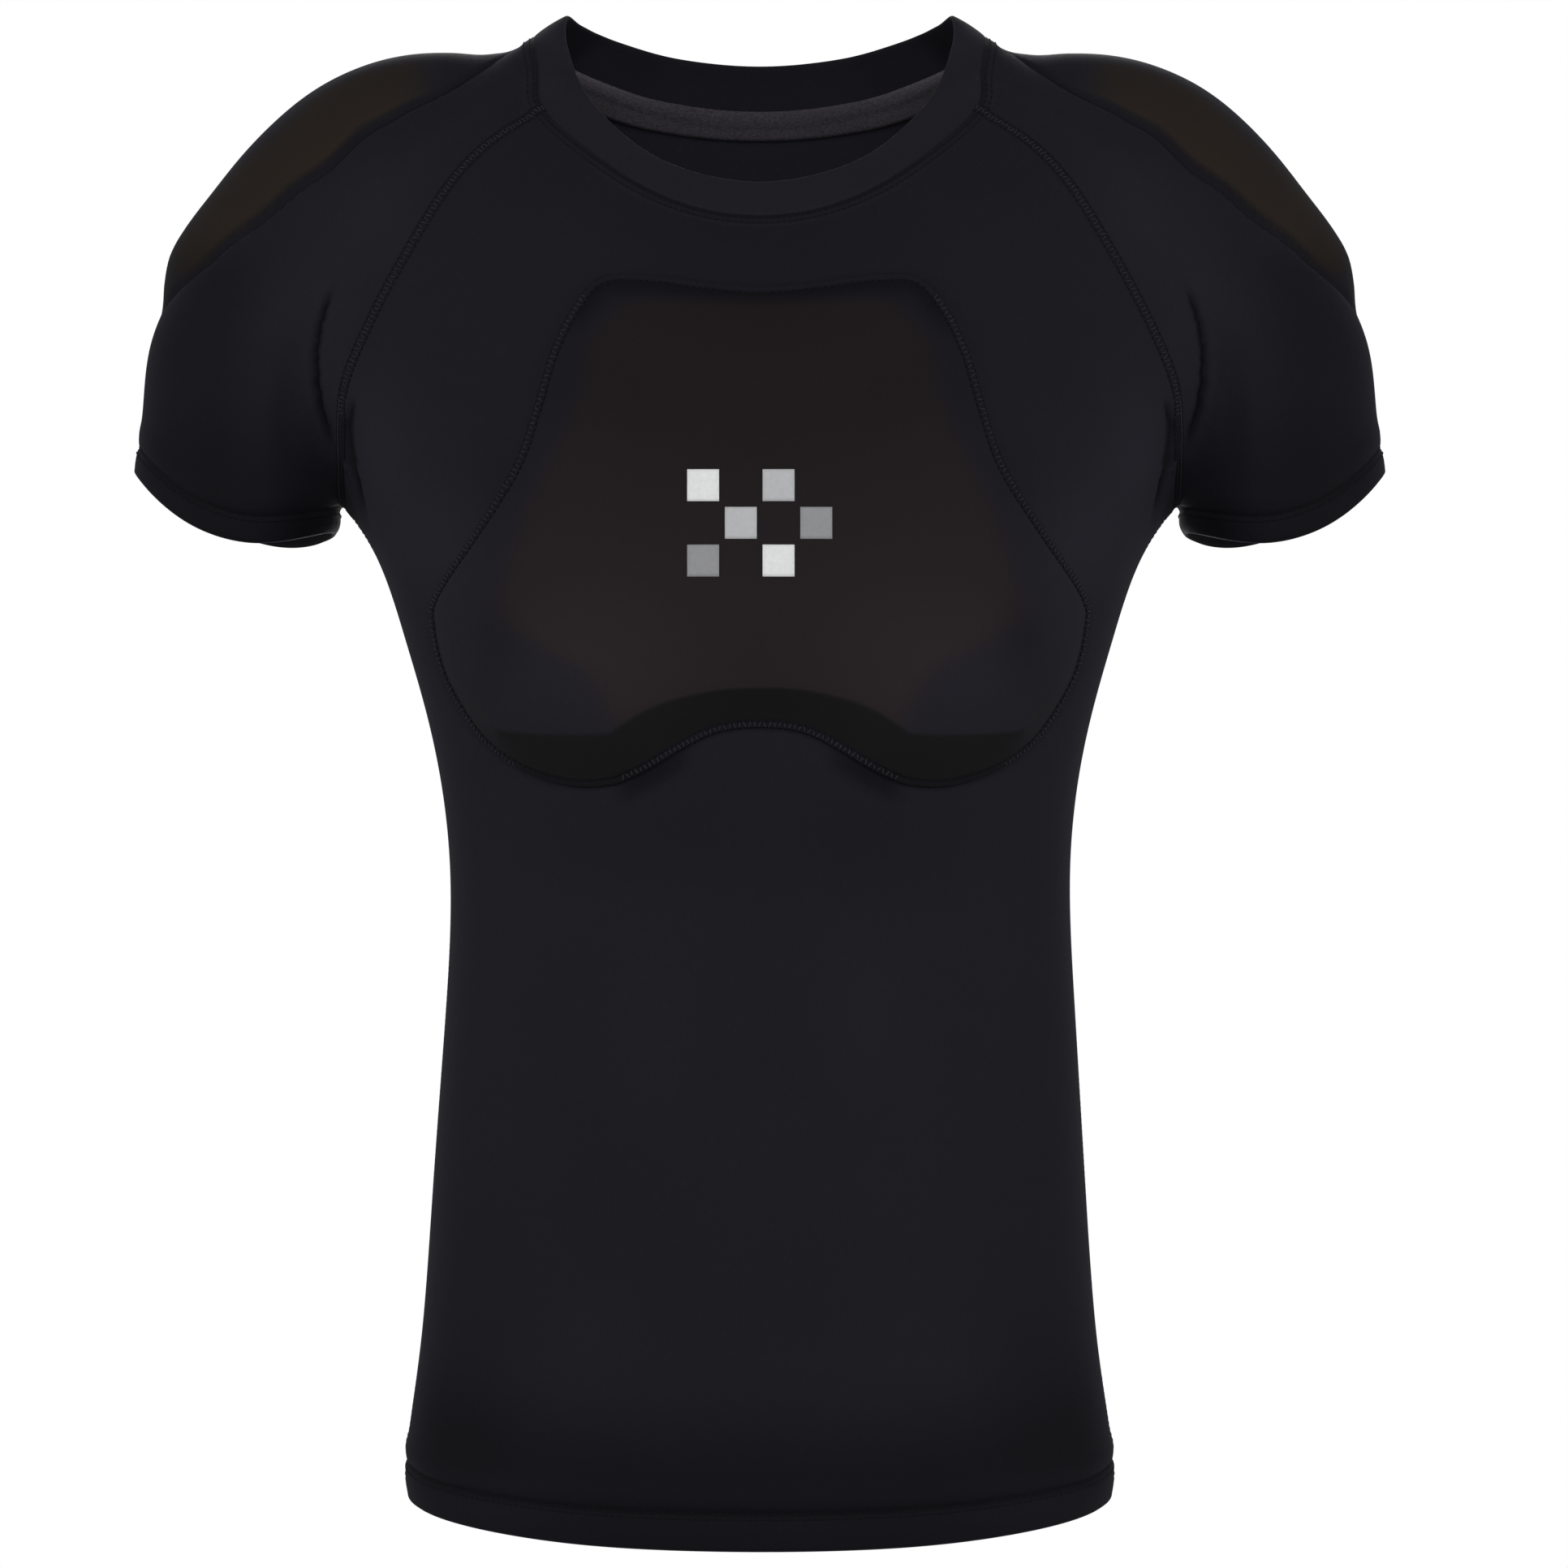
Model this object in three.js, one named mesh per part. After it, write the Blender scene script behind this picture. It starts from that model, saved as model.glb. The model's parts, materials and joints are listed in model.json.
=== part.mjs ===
// Padded compression shirt, short raglan sleeves, worn shape with no wearer in it.
// Millimetres. +Z up, -Y is the front, +X is the wearer's left (the right of a front view).
// The origin is midway between the shoulders at the height where the cloth rests on them beside the neck.
//
// One smooth skin is worked out from short tables of sections: the yoke (neck seam down to the underarm, round the
// front, over the sleeve, round the back), the trunk below it and the two sleeves. The skin is a quad net refined by
// the usual four-sided subdivision rule, solved so that it passes through the section points. Each sewn piece is the
// part of that skin between its own seams, made into a wall of real thickness.
import * as THREE from "three";

// ---- cloth and foam, mm ----
const CLOTH = 1.2; // knit wall
const HEM_WALL = 2.4; // turned-up hem and cuff, two layers
const BAND_WALL = 2.2; // neckband, folded double
const BAND_GAP = 0.65; // neckband above the neck seam line
const EDGE_SHIFT = 0.2; // how far each panel's edge is drawn back from the seam line
const HEM_DEPTH = 13; // turned-up hem
const CUFF_DEPTH = 12; // turned-up cuff
const CHEST_FOAM = 12; // chest pad, face height over the front panel
const CHEST_FLANGE = 1.6; // sewn edge of the chest pad's cover
const LAY_GAP = 0.75; // chest pad's back over the faceted front panel
const TAPE_WALL = 0.9; // neck tape
const TAPE_DEPTH = 13; // neck tape, below the neck seam

// ---- the yoke: eight sections from the neck seam (first) to the underarm (last) ----
// centreY/centreZ: where the section crosses centre front; x, y, z: where it crosses the raglan seam;
// lift: how sharply the section climbs from centre front to the seam.
const YOKE_FRONT = [
  { centreY: -78, centreZ: -83, x: 94, y: -44, z: -32, lift: 2.1 },
  { centreY: -84, centreZ: -91, x: 114, y: -58, z: -47, lift: 2.0 },
  { centreY: -90, centreZ: -102, x: 131, y: -69, z: -66, lift: 1.9 },
  { centreY: -95.5, centreZ: -117, x: 145.5, y: -75.5, z: -90, lift: 1.8 },
  { centreY: -100.5, centreZ: -135, x: 158.5, y: -76, z: -113, lift: 1.8 },
  { centreY: -105, centreZ: -154, x: 169.5, y: -72, z: -134, lift: 1.8 },
  { centreY: -108.5, centreZ: -173, x: 178.5, y: -64, z: -156, lift: 1.8 },
  { centreY: -110.5, centreZ: -192, x: 182, y: -43, z: -184, lift: 1.8 },
];
const YOKE_BACK = [
  { centreY: 66, centreZ: -18, x: 80, y: 42, z: -4, lift: 2.0 },
  { centreY: 76, centreZ: -38, x: 99, y: 57, z: -21, lift: 2.0 },
  { centreY: 86, centreZ: -62, x: 116, y: 70, z: -44, lift: 1.9 },
  { centreY: 94.5, centreZ: -88, x: 131, y: 78.5, z: -70, lift: 1.8 },
  { centreY: 101, centreZ: -115, x: 146, y: 81.5, z: -97, lift: 1.8 },
  { centreY: 105.5, centreZ: -142, x: 160, y: 79, z: -123, lift: 1.8 },
  { centreY: 108, centreZ: -168, x: 172.5, y: 69, z: -150, lift: 1.8 },
  { centreY: 108.5, centreZ: -192, x: 182, y: 44, z: -184, lift: 1.8 },
];
// The same sections over the sleeve. outX, outZ: the top or outer line, without the shoulder pad under it;
// widest: how far out from the seam, as a share of the way to that line, the sleeve is deepest; halfFront, halfBack: that depth.
const YOKE_SLEEVE = [
  { outX: 99.5, outZ: 6.5, widest: 0, halfFront: 44, halfBack: 42 },
  { outX: 124, outZ: -7, widest: 0, halfFront: 58, halfBack: 57 },
  { outX: 152, outZ: -13, widest: 0, halfFront: 69, halfBack: 70 },
  { outX: 181, outZ: -23, widest: 0, halfFront: 75.5, halfBack: 78.5 },
  { outX: 206, outZ: -41, widest: 0.04, halfFront: 76.2, halfBack: 81.8 },
  { outX: 230, outZ: -67.5, widest: 0.14, halfFront: 73.5, halfBack: 80 },
  { outX: 254, outZ: -99, widest: 0.3, halfFront: 69, halfBack: 74 },
  { outX: 269, outZ: -129.5, widest: 0.45, halfFront: 64, halfBack: 67 },
];
const UNDERARM = { x: 184, y: 0, z: -203 };
// Sleeve below the underarm, down to the cuff: outer line, inner line, half depths, and how far front and back hang below.
const SLEEVE = [
  { outX: 273, outZ: -159, inX: 187, inZ: -207.5, halfFront: 61.5, halfBack: 64, dropFront: 8, dropBack: 6 },
  { outX: 277, outZ: -185.5, inX: 189, inZ: -213, halfFront: 59, halfBack: 61, dropFront: 18, dropBack: 13 },
];
// Trunk below the underarm. side: half width at the side seam; front, back: depths at centre; square: 2 is an ellipse;
// rise: how much higher the section runs at the sides than at the centre.
const TRUNK = [
  { z: -226, side: 168.5, front: 111, back: 108, square: 2.5, rise: 0 },
  { z: -262, side: 156, front: 110.5, back: 104.5, square: 2.45, rise: 0 },
  { z: -306, side: 144.4, front: 106, back: 96.5, square: 2.4, rise: 0 },
  { z: -362, side: 137.4, front: 100.5, back: 88.5, square: 2.3, rise: 0 },
  { z: -428, side: 139.6, front: 98, back: 88, square: 2.3, rise: 0 },
  { z: -500, side: 144.4, front: 99, back: 96.5, square: 2.3, rise: 1 },
  { z: -570, side: 149.3, front: 101.5, back: 106.5, square: 2.35, rise: 3 },
  { z: -620, side: 155.8, front: 104, back: 111, square: 2.35, rise: 5.5 },
  { z: -645, side: 155.9, front: 105, back: 112.5, square: 2.3, rise: 7 },
];
// Neckband's folded top edge, at every second section line from centre front round the side to centre back.
const BAND_TOP = [
  { x: 0, y: -66, z: -66.5 },
  { x: 42, y: -59.5, z: -56 },
  { x: 72, y: -42, z: -29 },
  { x: 84, y: -19, z: -1 },
  { x: 86, y: 3, z: 17.2 },
  { x: 80, y: 24, z: 17 },
  { x: 66, y: 43, z: 13.6 },
  { x: 37, y: 58.5, z: 8 },
  { x: 0, y: 62, z: 5.2 },
];

// ---- shoulder pad under the sleeve ----
// Placed by its angle, in degrees, about a line that runs front to back inside the shoulder: 0 is straight up, 90 straight out.
const PAD_LINE = { x: 140, z: -133 };
const SHOULDER_PAD = [
  { angle: -15, half: 7, foam: 0 },
  { angle: -10, half: 27, foam: 3.5 },
  { angle: -3, half: 44, foam: 8.5 },
  { angle: 8, half: 52, foam: 11.5 },
  { angle: 22, half: 55, foam: 12.5 },
  { angle: 36, half: 55, foam: 12.5 },
  { angle: 46, half: 52, foam: 12.5 },
  { angle: 56, half: 47, foam: 12 },
  { angle: 66, half: 41, foam: 11.5 },
  { angle: 72, half: 36, foam: 10 },
  { angle: 77, half: 28, foam: 6 },
  { angle: 81, half: 18, foam: 2 },
  { angle: 84, half: 7, foam: 0 },
];
const PAD_BEVEL = 9; // sloped edge of the shoulder pad
const PAD_GAP = 0.7; // shoulder pad under the sleeve cloth
const PAD_SHEET = 1.2; // thinnest edge of the shoulder pad

// ---- chest pad: seam line and the edge of the raised face, one side, from top centre to bottom centre ----
const CHEST_PAD = [
  { seamX: 0, seamZ: -116, faceX: 0, faceZ: -122 },
  { seamX: 24, seamZ: -114, faceX: 22, faceZ: -120.5 },
  { seamX: 46, seamZ: -111, faceX: 40, faceZ: -119 },
  { seamX: 66, seamZ: -111.5, faceX: 56, faceZ: -121.5 },
  { seamX: 77, seamZ: -122.5, faceX: 66, faceZ: -132 },
  { seamX: 87, seamZ: -143, faceX: 76, faceZ: -152 },
  { seamX: 94, seamZ: -167, faceX: 84, faceZ: -174 },
  { seamX: 102, seamZ: -190, faceX: 93, faceZ: -195 },
  { seamX: 119, seamZ: -217, faceX: 106, faceZ: -218 },
  { seamX: 137.5, seamZ: -243, faceX: 119, faceZ: -240 },
  { seamX: 139.5, seamZ: -256, faceX: 122, faceZ: -254 },
  { seamX: 134, seamZ: -279, faceX: 119, faceZ: -272 },
  { seamX: 121, seamZ: -301, faceX: 111, faceZ: -290 },
  { seamX: 108.4, seamZ: -313.2, faceX: 104.5, faceZ: -298.8 },
  { seamX: 94, seamZ: -321, faceX: 91.5, faceZ: -301 },
  { seamX: 77, seamZ: -325.3, faceX: 76, faceZ: -301.7 },
  { seamX: 62, seamZ: -324.5, faceX: 61.5, faceZ: -301.5 },
  { seamX: 46, seamZ: -317.6, faceX: 46, faceZ: -292 },
  { seamX: 34, seamZ: -310.3, faceX: 33, faceZ: -287.2 },
  { seamX: 21, seamZ: -303.6, faceX: 20, faceZ: -284.4 },
  { seamX: 10, seamZ: -301, faceX: 10, faceZ: -283.3 },
  { seamX: 0, seamZ: -300.5, faceX: 0, faceZ: -283 },
];
const CHEST_CENTRE = { x: 0, z: -218 };

// ---- folds, as soft troughs on the front and, a little shallower, on the back: points are x, z of the fold line ----
const FOLDS = [
  { name: "armpit crease", line: [[184, -117], [189, -134], [190, -152], [188, -170], [184.5, -188], [183, -201]], width: 5, depth: 3.2 },
  { name: "crease beside the raglan seam", line: [[174, -162], [174.5, -178], [171, -196]], width: 4, depth: 1.6 },
];

// ======== small helpers ========
const mix = (a, b, t) => a + (b - a) * t;
const clamp = (x, a, b) => Math.min(b, Math.max(a, x));
const step = (a, b, x) => { const t = clamp((x - a) / (b - a), 0, 1); return t * t * (3 - 2 * t); };
const add = (a, b, s = 1) => [a[0] + s * b[0], a[1] + s * b[1], a[2] + s * b[2]];
const sub = (a, b) => [a[0] - b[0], a[1] - b[1], a[2] - b[2]];
const dot = (a, b) => a[0] * b[0] + a[1] * b[1] + a[2] * b[2];
const cross = (a, b) => [a[1] * b[2] - a[2] * b[1], a[2] * b[0] - a[0] * b[2], a[0] * b[1] - a[1] * b[0]];
const unit = (a) => { const l = Math.hypot(...a) || 1; return [a[0] / l, a[1] / l, a[2] / l]; };
const power = (x, p) => Math.sign(x) * Math.abs(x) ** p;

// A column of a table, read smoothly between its rows.
function column(rows, at, name, key) {
  const n = rows.length;
  if (at <= rows[0][key]) return rows[0][name];
  if (at >= rows[n - 1][key]) return rows[n - 1][name];
  let i = 0;
  while (at > rows[i + 1][key]) i++;
  const slope = (k) => (k <= 0 || k >= n - 1 ? 0 : (rows[k + 1][name] - rows[k - 1][name]) / (rows[k + 1][key] - rows[k - 1][key]));
  const h = rows[i + 1][key] - rows[i][key], t = (at - rows[i][key]) / h;
  const a = rows[i][name], b = rows[i + 1][name];
  return a * (1 + 2 * t) * (1 - t) ** 2 + b * t * t * (3 - 2 * t) + h * (slope(i) * t * (1 - t) ** 2 - slope(i + 1) * t * t * (1 - t));
}

// ======== the net of section points ========
const HALF = 4; // steps from centre front to the raglan seam, and from the seam to the sleeve's outer line
const RING = 8 * HALF; // steps round a yoke section
const net = { v: [], q: [], tag: [] };
const put = (p) => net.v.push(p) - 1;
const quad = (a, b, c, d, tag) => { net.q.push([a, b, c, d]); net.tag.push(tag); };

// Front or back half of a yoke section, from the centre to the raglan seam.
function bodyPoint(row, k, square = 2.5) {
  const x = (row.x * k) / HALF;
  const depth = Math.abs(row.centreY), seam = Math.abs(row.y);
  const reach = row.x / (1 - (seam / depth) ** square) ** (1 / square);
  const y = Math.sign(row.y) * depth * (1 - (x / reach) ** square) ** (1 / square);
  return [x, y, mix(row.centreZ, row.z, (x / row.x) ** row.lift)];
}
// Sleeve part of a yoke section: m steps from the raglan seam to the outer line.
function sleevePoint(seam, over, half, m) {
  const side = Math.sign(seam.y), dx = over.outX - seam.x, dz = over.outZ - seam.z;
  const inner = over.widest, outer = 1 - inner, depth = Math.max(half, Math.abs(seam.y) + 0.01);
  const start = inner > 0 ? -Math.acos(Math.min(1, Math.abs(seam.y) / depth)) : 0;
  const angle = mix(start, Math.PI / 2, m / HALF);
  const share = angle < 0 ? inner + (inner * Math.sin(angle)) / Math.sin(-start) : inner + outer * Math.sin(angle);
  return [seam.x + dx * share, side * (inner > 0 ? depth : Math.abs(seam.y)) * Math.cos(angle), seam.z + dz * share];
}
function yokeHalf(j) {
  const f = YOKE_FRONT[j], b = YOKE_BACK[j], s = YOKE_SLEEVE[j], out = [];
  for (let k = 0; k <= HALF; k++) out.push(bodyPoint(f, k));
  for (let m = 1; m <= HALF; m++) out.push(sleevePoint(f, s, s.halfFront, m));
  for (let m = HALF - 1; m >= 0; m--) out.push(sleevePoint(b, s, s.halfBack, m));
  for (let k = HALF - 1; k >= 0; k--) out.push(bodyPoint(b, k));
  return out; // 0 centre front, HALF front seam, 2 HALF outer line, 3 HALF back seam, 4 HALF centre back
}
const mirror = (p) => [-p[0], p[1], p[2]];
const yoke = YOKE_FRONT.map((_, j) => {
  const half = yokeHalf(j), ids = [];
  for (let i = 0; i < RING; i++) ids.push(put(i <= RING / 2 ? half[i] : mirror(half[RING - i])));
  return ids;
});
const part = (i) => (i < HALF || i >= RING - HALF ? "front" : i < 3 * HALF ? "sleeve_left" : i < 5 * HALF ? "back" : "sleeve_right");
for (let j = 0; j + 1 < yoke.length; j++)
  for (let i = 0; i < RING; i++) {
    const n = (i + 1) % RING;
    quad(yoke[j][i], yoke[j + 1][i], yoke[j + 1][n], yoke[j][n], part(i));
  }
const last = yoke[yoke.length - 1];
const arm = { left: put([UNDERARM.x, UNDERARM.y, UNDERARM.z]), right: put([-UNDERARM.x, UNDERARM.y, UNDERARM.z]) };

// Trunk sections: centre front to side seam in HALF + 1 steps, then on round the back.
function trunkPoint(row, k, back) {
  const angle = (Math.PI / 2) * (k / (HALF + 1));
  return [row.side * power(Math.sin(angle), 2 / row.square), (back ? row.back : -row.front) * power(Math.cos(angle), 2 / row.square), row.z + row.rise * Math.sin(angle) ** 2];
}
let above = [...last.slice(0, HALF + 1), arm.left, ...last.slice(3 * HALF, 5 * HALF + 1), arm.right, ...last.slice(7 * HALF)];
const trunkRing = above.length;
const trunkRows = [above];
for (const row of TRUNK) {
  const half = [];
  for (let k = 0; k <= HALF + 1; k++) half.push(trunkPoint(row, k, false));
  for (let k = HALF; k >= 0; k--) half.push(trunkPoint(row, k, true));
  half[HALF + 1][1] = 0;
  const ids = [];
  for (let i = 0; i < trunkRing; i++) ids.push(put(i <= trunkRing / 2 ? half[i] : mirror(half[trunkRing - i])));
  for (let i = 0; i < trunkRing; i++) {
    const n = (i + 1) % trunkRing, front = i <= HALF || i >= trunkRing - HALF - 1;
    quad(above[i], ids[i], ids[n], above[n], front ? "front" : "back");
  }
  above = ids;
  trunkRows.push(ids);
}
// Sleeve sections below the underarm.
for (const side of ["left", "right"]) {
  const flip = side === "right";
  const start = flip ? 5 * HALF : HALF;
  let ring = [...last.slice(start, start + 2 * HALF + 1), arm[side]];
  for (const row of SLEEVE) {
    const ids = ring.map((_, i) => {
      // i runs front seam, outer line, back seam, underarm on the left sleeve, and the other way round on the right
      const angle = -0.3 * Math.PI + (0.8 * Math.PI * Math.min(i, 2 * HALF - i)) / HALF;
      const back = flip ? i < HALF : i > HALF;
      const a = i === 2 * HALF + 1 ? -Math.PI / 2 : angle;
      const share = (1 + Math.sin(a)) / 2, across = Math.cos(a);
      const p = [mix(row.inX, row.outX, share), (back ? row.halfBack : -row.halfFront) * across,
        mix(row.inZ, row.outZ, share) - (back ? row.dropBack : row.dropFront) * across * across];
      if (i === HALF) p[1] = 0;
      if (i === 2 * HALF + 1) p[1] = 0;
      return put(flip ? mirror(p) : p);
    });
    for (let i = 0; i < ring.length; i++) {
      const n = (i + 1) % ring.length;
      quad(ring[i], ids[i], ids[n], ring[n], "sleeve_" + side);
    }
    ring = ids;
  }
}

// ======== subdivision ========
function links(m) {
  const edges = new Map(), around = m.v.map(() => ({ faces: [], edges: [] }));
  m.q.forEach((f, i) => {
    f.forEach((a, k) => {
      const b = f[(k + 1) % 4], id = a < b ? a + "_" + b : b + "_" + a;
      if (!edges.has(id)) { const e = { a, b, faces: [], n: edges.size }; edges.set(id, e); around[a].edges.push(e); around[b].edges.push(e); }
      edges.get(id).faces.push(i);
      around[a].faces.push(i);
    });
  });
  return { edges, around };
}
const mean = (ps) => ps.reduce((s, p) => add(s, p), [0, 0, 0]).map((c) => c / ps.length);
const other = (e, i) => (e.a === i ? e.b : e.a);
// Where each point of a net ends on the smooth skin.
function limit(m, l) {
  return m.v.map((p, i) => {
    const { faces, edges } = l.around[i], rim = edges.filter((e) => e.faces.length === 1);
    if (rim.length) return mean([p, p, p, p, ...rim.map((e) => m.v[other(e, i)])]);
    const n = edges.length;
    let s = p.map((c) => c * n * n);
    for (const e of edges) s = add(s, m.v[other(e, i)], 4);
    for (const f of faces) { const q = m.q[f]; s = add(s, m.v[q[(q.indexOf(i) + 2) % 4]]); }
    return s.map((c) => c / (n * (n + 5)));
  });
}
function subdivide(m) {
  const { edges, around } = links(m), nv = m.v.length, ne = edges.size;
  const face = m.q.map((f) => mean(f.map((i) => m.v[i])));
  const list = [...edges.values()];
  const edge = list.map((e) => (e.faces.length === 1 ? mean([m.v[e.a], m.v[e.b]]) : mean([m.v[e.a], m.v[e.b], face[e.faces[0]], face[e.faces[1]]])));
  const vertex = m.v.map((p, i) => {
    const { faces, edges: es } = around[i], rim = es.filter((e) => e.faces.length === 1);
    if (rim.length) return mean([p, p, p, p, p, p, ...rim.map((e) => m.v[other(e, i)])]);
    const n = es.length, f = mean(faces.map((k) => face[k])), r = mean(es.map((e) => mean([p, m.v[other(e, i)]])));
    return [0, 1, 2].map((c) => (f[c] + 2 * r[c] + (n - 3) * p[c]) / n);
  });
  const q = [], tag = [], key = (a, b) => nv + edges.get(a < b ? a + "_" + b : b + "_" + a).n;
  m.q.forEach((f, i) => f.forEach((a, k) => { q.push([a, key(a, f[(k + 1) % 4]), nv + ne + i, key(f[(k + 3) % 4], a)]); tag.push(m.tag[i]); }));
  return { v: [...vertex, ...edge, ...face], q, tag };
}
// Solve the net so that the smooth skin passes through the section points.
const target = net.v.map((p) => [...p]);
{
  const l = links(net);
  for (let round = 0; round < 14; round++) {
    const now = limit(net, l);
    net.v = net.v.map((p, i) => add(p, sub(target[i], now[i])));
  }
}
const skin = subdivide(net);
const skinLinks = links(skin);
skin.v = limit(skin, skinLinks);
const normals = skin.v.map(() => [0, 0, 0]);
for (const f of skin.q) {
  const n = cross(sub(skin.v[f[2]], skin.v[f[0]]), sub(skin.v[f[3]], skin.v[f[1]]));
  for (const i of f) normals[i] = add(normals[i], n);
}
normals.forEach((n, i) => (normals[i] = unit(n)));

// ======== what the cloth lies over ========
function padAt(p) {
  const dx = Math.abs(p[0]) - PAD_LINE.x, dz = p[2] - PAD_LINE.z;
  const angle = (Math.atan2(dx, dz) * 180) / Math.PI;
  if (angle < SHOULDER_PAD[0].angle || angle > SHOULDER_PAD[SHOULDER_PAD.length - 1].angle) return 0;
  const half = column(SHOULDER_PAD, angle, "half", "angle"), foam = column(SHOULDER_PAD, angle, "foam", "angle");
  return foam * step(half, half - Math.min(PAD_BEVEL, 0.6 * half), Math.abs(p[1]));
}
function distanceToLine(line, x, z) {
  let best = 1e9, along = 0;
  for (let i = 0; i + 1 < line.length; i++) {
    const [ax, az] = line[i], [bx, bz] = line[i + 1], l2 = (bx - ax) ** 2 + (bz - az) ** 2;
    const t = clamp(((x - ax) * (bx - ax) + (z - az) * (bz - az)) / l2, 0, 1);
    const d = Math.hypot(x - mix(ax, bx, t), z - mix(az, bz, t));
    if (d < best) { best = d; along = (i + t) / (line.length - 1); }
  }
  return [best, along];
}
function foldAt(p) {
  let s = 0;
  for (const f of FOLDS) {
    const [d, along] = distanceToLine(f.line, Math.abs(p[0]), p[2]);
    s -= f.depth * Math.exp(-((d / f.width) ** 2)) * Math.sin(Math.PI * clamp(along, 0.02, 0.98)) * (p[1] < 0 ? 1 : 0.7);
  }
  return Math.abs(p[1]) > 12 ? s : 0;
}
const relief = (p, tag) => (tag.startsWith("sleeve") ? padAt(p) : 0) + foldAt(p);
const dressed = skin.v.map((p, i) => add(p, normals[i], padAt(p) + foldAt(p)));

// ======== solids ========
function meshOf(name, points, faces, colour, roughness) {
  const g = new THREE.BufferGeometry();
  g.setAttribute("position", new THREE.BufferAttribute(new Float32Array(points.flat()), 3));
  g.setIndex(faces.flat());
  g.computeVertexNormals();
  const mesh = new THREE.Mesh(g, new THREE.MeshStandardMaterial({ color: colour, roughness, metalness: 0 }));
  mesh.name = name;
  return mesh;
}
const near = (a, b) => Math.hypot(...sub(a, b));
const split = (p, [a, b, c, d]) => (near(p[a], p[c]) <= near(p[b], p[d]) ? [[a, b, c], [a, c, d]] : [[a, b, d], [b, c, d]]);

// Nearness of a sleeve point to its cuff edge, in mm along the sleeve.
const cuffEdge = skin.v.map((p, i) => i).filter((i) => skinLinks.around[i].edges.some((e) => e.faces.length === 1) && Math.abs(skin.v[i][0]) > 186 && skin.v[i][2] < -180);
const toCuff = (p) => Math.min(...cuffEdge.map((i) => near(p, skin.v[i])));
function wallAt(p, tag) {
  if (tag.startsWith("sleeve")) return toCuff(p) < CUFF_DEPTH ? HEM_WALL : CLOTH;
  return p[2] < TRUNK[TRUNK.length - 1].z + HEM_DEPTH + 7 ? HEM_WALL : CLOTH;
}
function panel(tag) {
  const faces = skin.q.filter((_, i) => skin.tag[i] === tag), ids = [...new Set(faces.flat())], at = new Map(ids.map((v, i) => [v, i]));
  const count = new Map(), beside = new Map();
  for (const f of faces) {
    const c = mean(f.map((i) => skin.v[i]));
    f.forEach((a, k) => {
      const b = f[(k + 1) % 4], id = a < b ? a + "_" + b : b + "_" + a;
      count.set(id, (count.get(id) || 0) + 1);
      beside.set(a, [...(beside.get(a) || []), c]);
    });
  }
  const rim = [];
  for (const f of faces) f.forEach((a, k) => { const b = f[(k + 1) % 4]; if (count.get(a < b ? a + "_" + b : b + "_" + a) === 1) rim.push([a, b]); });
  const onRim = new Set(rim.flat());
  const outer = ids.map((v) => {
    const p = skin.v[v], n = normals[v];
    let q = add(p, n, relief(p, tag));
    if (onRim.has(v)) {
      const d = sub(mean(beside.get(v)), p), flat = add(d, n, -dot(d, n));
      q = add(q, unit(flat), EDGE_SHIFT);
    }
    return q;
  });
  const inner = ids.map((v, i) => add(outer[i], normals[v], -wallAt(skin.v[v], tag)));
  const n = ids.length, points = [...outer, ...inner], out = [];
  for (const f of faces) {
    const tris = split(points, f.map((v) => at.get(v)));
    for (const [a, b, c] of tris) out.push([a, b, c], [c + n, b + n, a + n]);
  }
  for (const [a, b] of rim) {
    const i = at.get(a), k = at.get(b);
    out.push([k, i, i + n], [k, i + n, k + n]);
  }
  return { points, faces: out };
}
// A closed solid from a front sheet and a back sheet on the same grid of rows by columns; round says whether the columns close up.
function slab(front, back, round = false) {
  const rows = front.length, cols = front[0].length, n = rows * cols, points = [...front.flat(), ...back.flat()], out = [];
  const id = (r, c) => r * cols + (c % cols);
  const put4 = (a, b, c, d) => out.push([a, b, c], [a, c, d]);
  const across = round ? cols : cols - 1;
  for (let r = 0; r + 1 < rows; r++)
    for (let c = 0; c < across; c++) {
      const [a, b, d, e] = [id(r, c), id(r + 1, c), id(r + 1, c + 1), id(r, c + 1)];
      put4(a, b, d, e);
      put4(e + n, d + n, b + n, a + n);
    }
  for (let c = 0; c < across; c++) {
    put4(id(0, c), id(0, c + 1), id(0, c + 1) + n, id(0, c) + n);
    put4(id(rows - 1, c + 1), id(rows - 1, c), id(rows - 1, c) + n, id(rows - 1, c + 1) + n);
  }
  if (!round)
    for (let r = 0; r + 1 < rows; r++) {
      put4(id(r + 1, 0), id(r, 0), id(r, 0) + n, id(r + 1, 0) + n);
      put4(id(r, cols - 1), id(r + 1, cols - 1), id(r + 1, cols - 1) + n, id(r, cols - 1) + n);
    }
  return { points, faces: out };
}

// Where a straight line from a point first, or last, meets the skin, and the way the skin faces there.
function meet(from, way, tags, lastHit, points = skin.v) {
  let best = null;
  skin.q.forEach((f, i) => {
    if (!tags.includes(skin.tag[i])) return;
    for (const t of split(points, f)) {
      const [a, b, c] = t.map((k) => points[k]);
      const e1 = sub(b, a), e2 = sub(c, a), h = cross(way, e2), det = dot(e1, h);
      if (Math.abs(det) < 1e-12) continue;
      const s = sub(from, a), u = dot(s, h) / det;
      if (u < -1e-7 || u > 1 + 1e-7) continue;
      const q = cross(s, e1), v = dot(way, q) / det;
      if (v < -1e-7 || u + v > 1 + 1e-7) continue;
      const d = dot(e2, q) / det;
      if (d < 0 || (best && (lastHit ? d <= best.d : d >= best.d))) continue;
      const n = unit(add(add([0, 0, 0].map((_, k) => normals[t[0]][k] * (1 - u - v)), normals[t[1]], u), normals[t[2]], v));
      best = { d, p: add(from, way, d), n };
    }
  });
  if (!best) throw new Error("no skin at " + from);
  return best;
}

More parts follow.
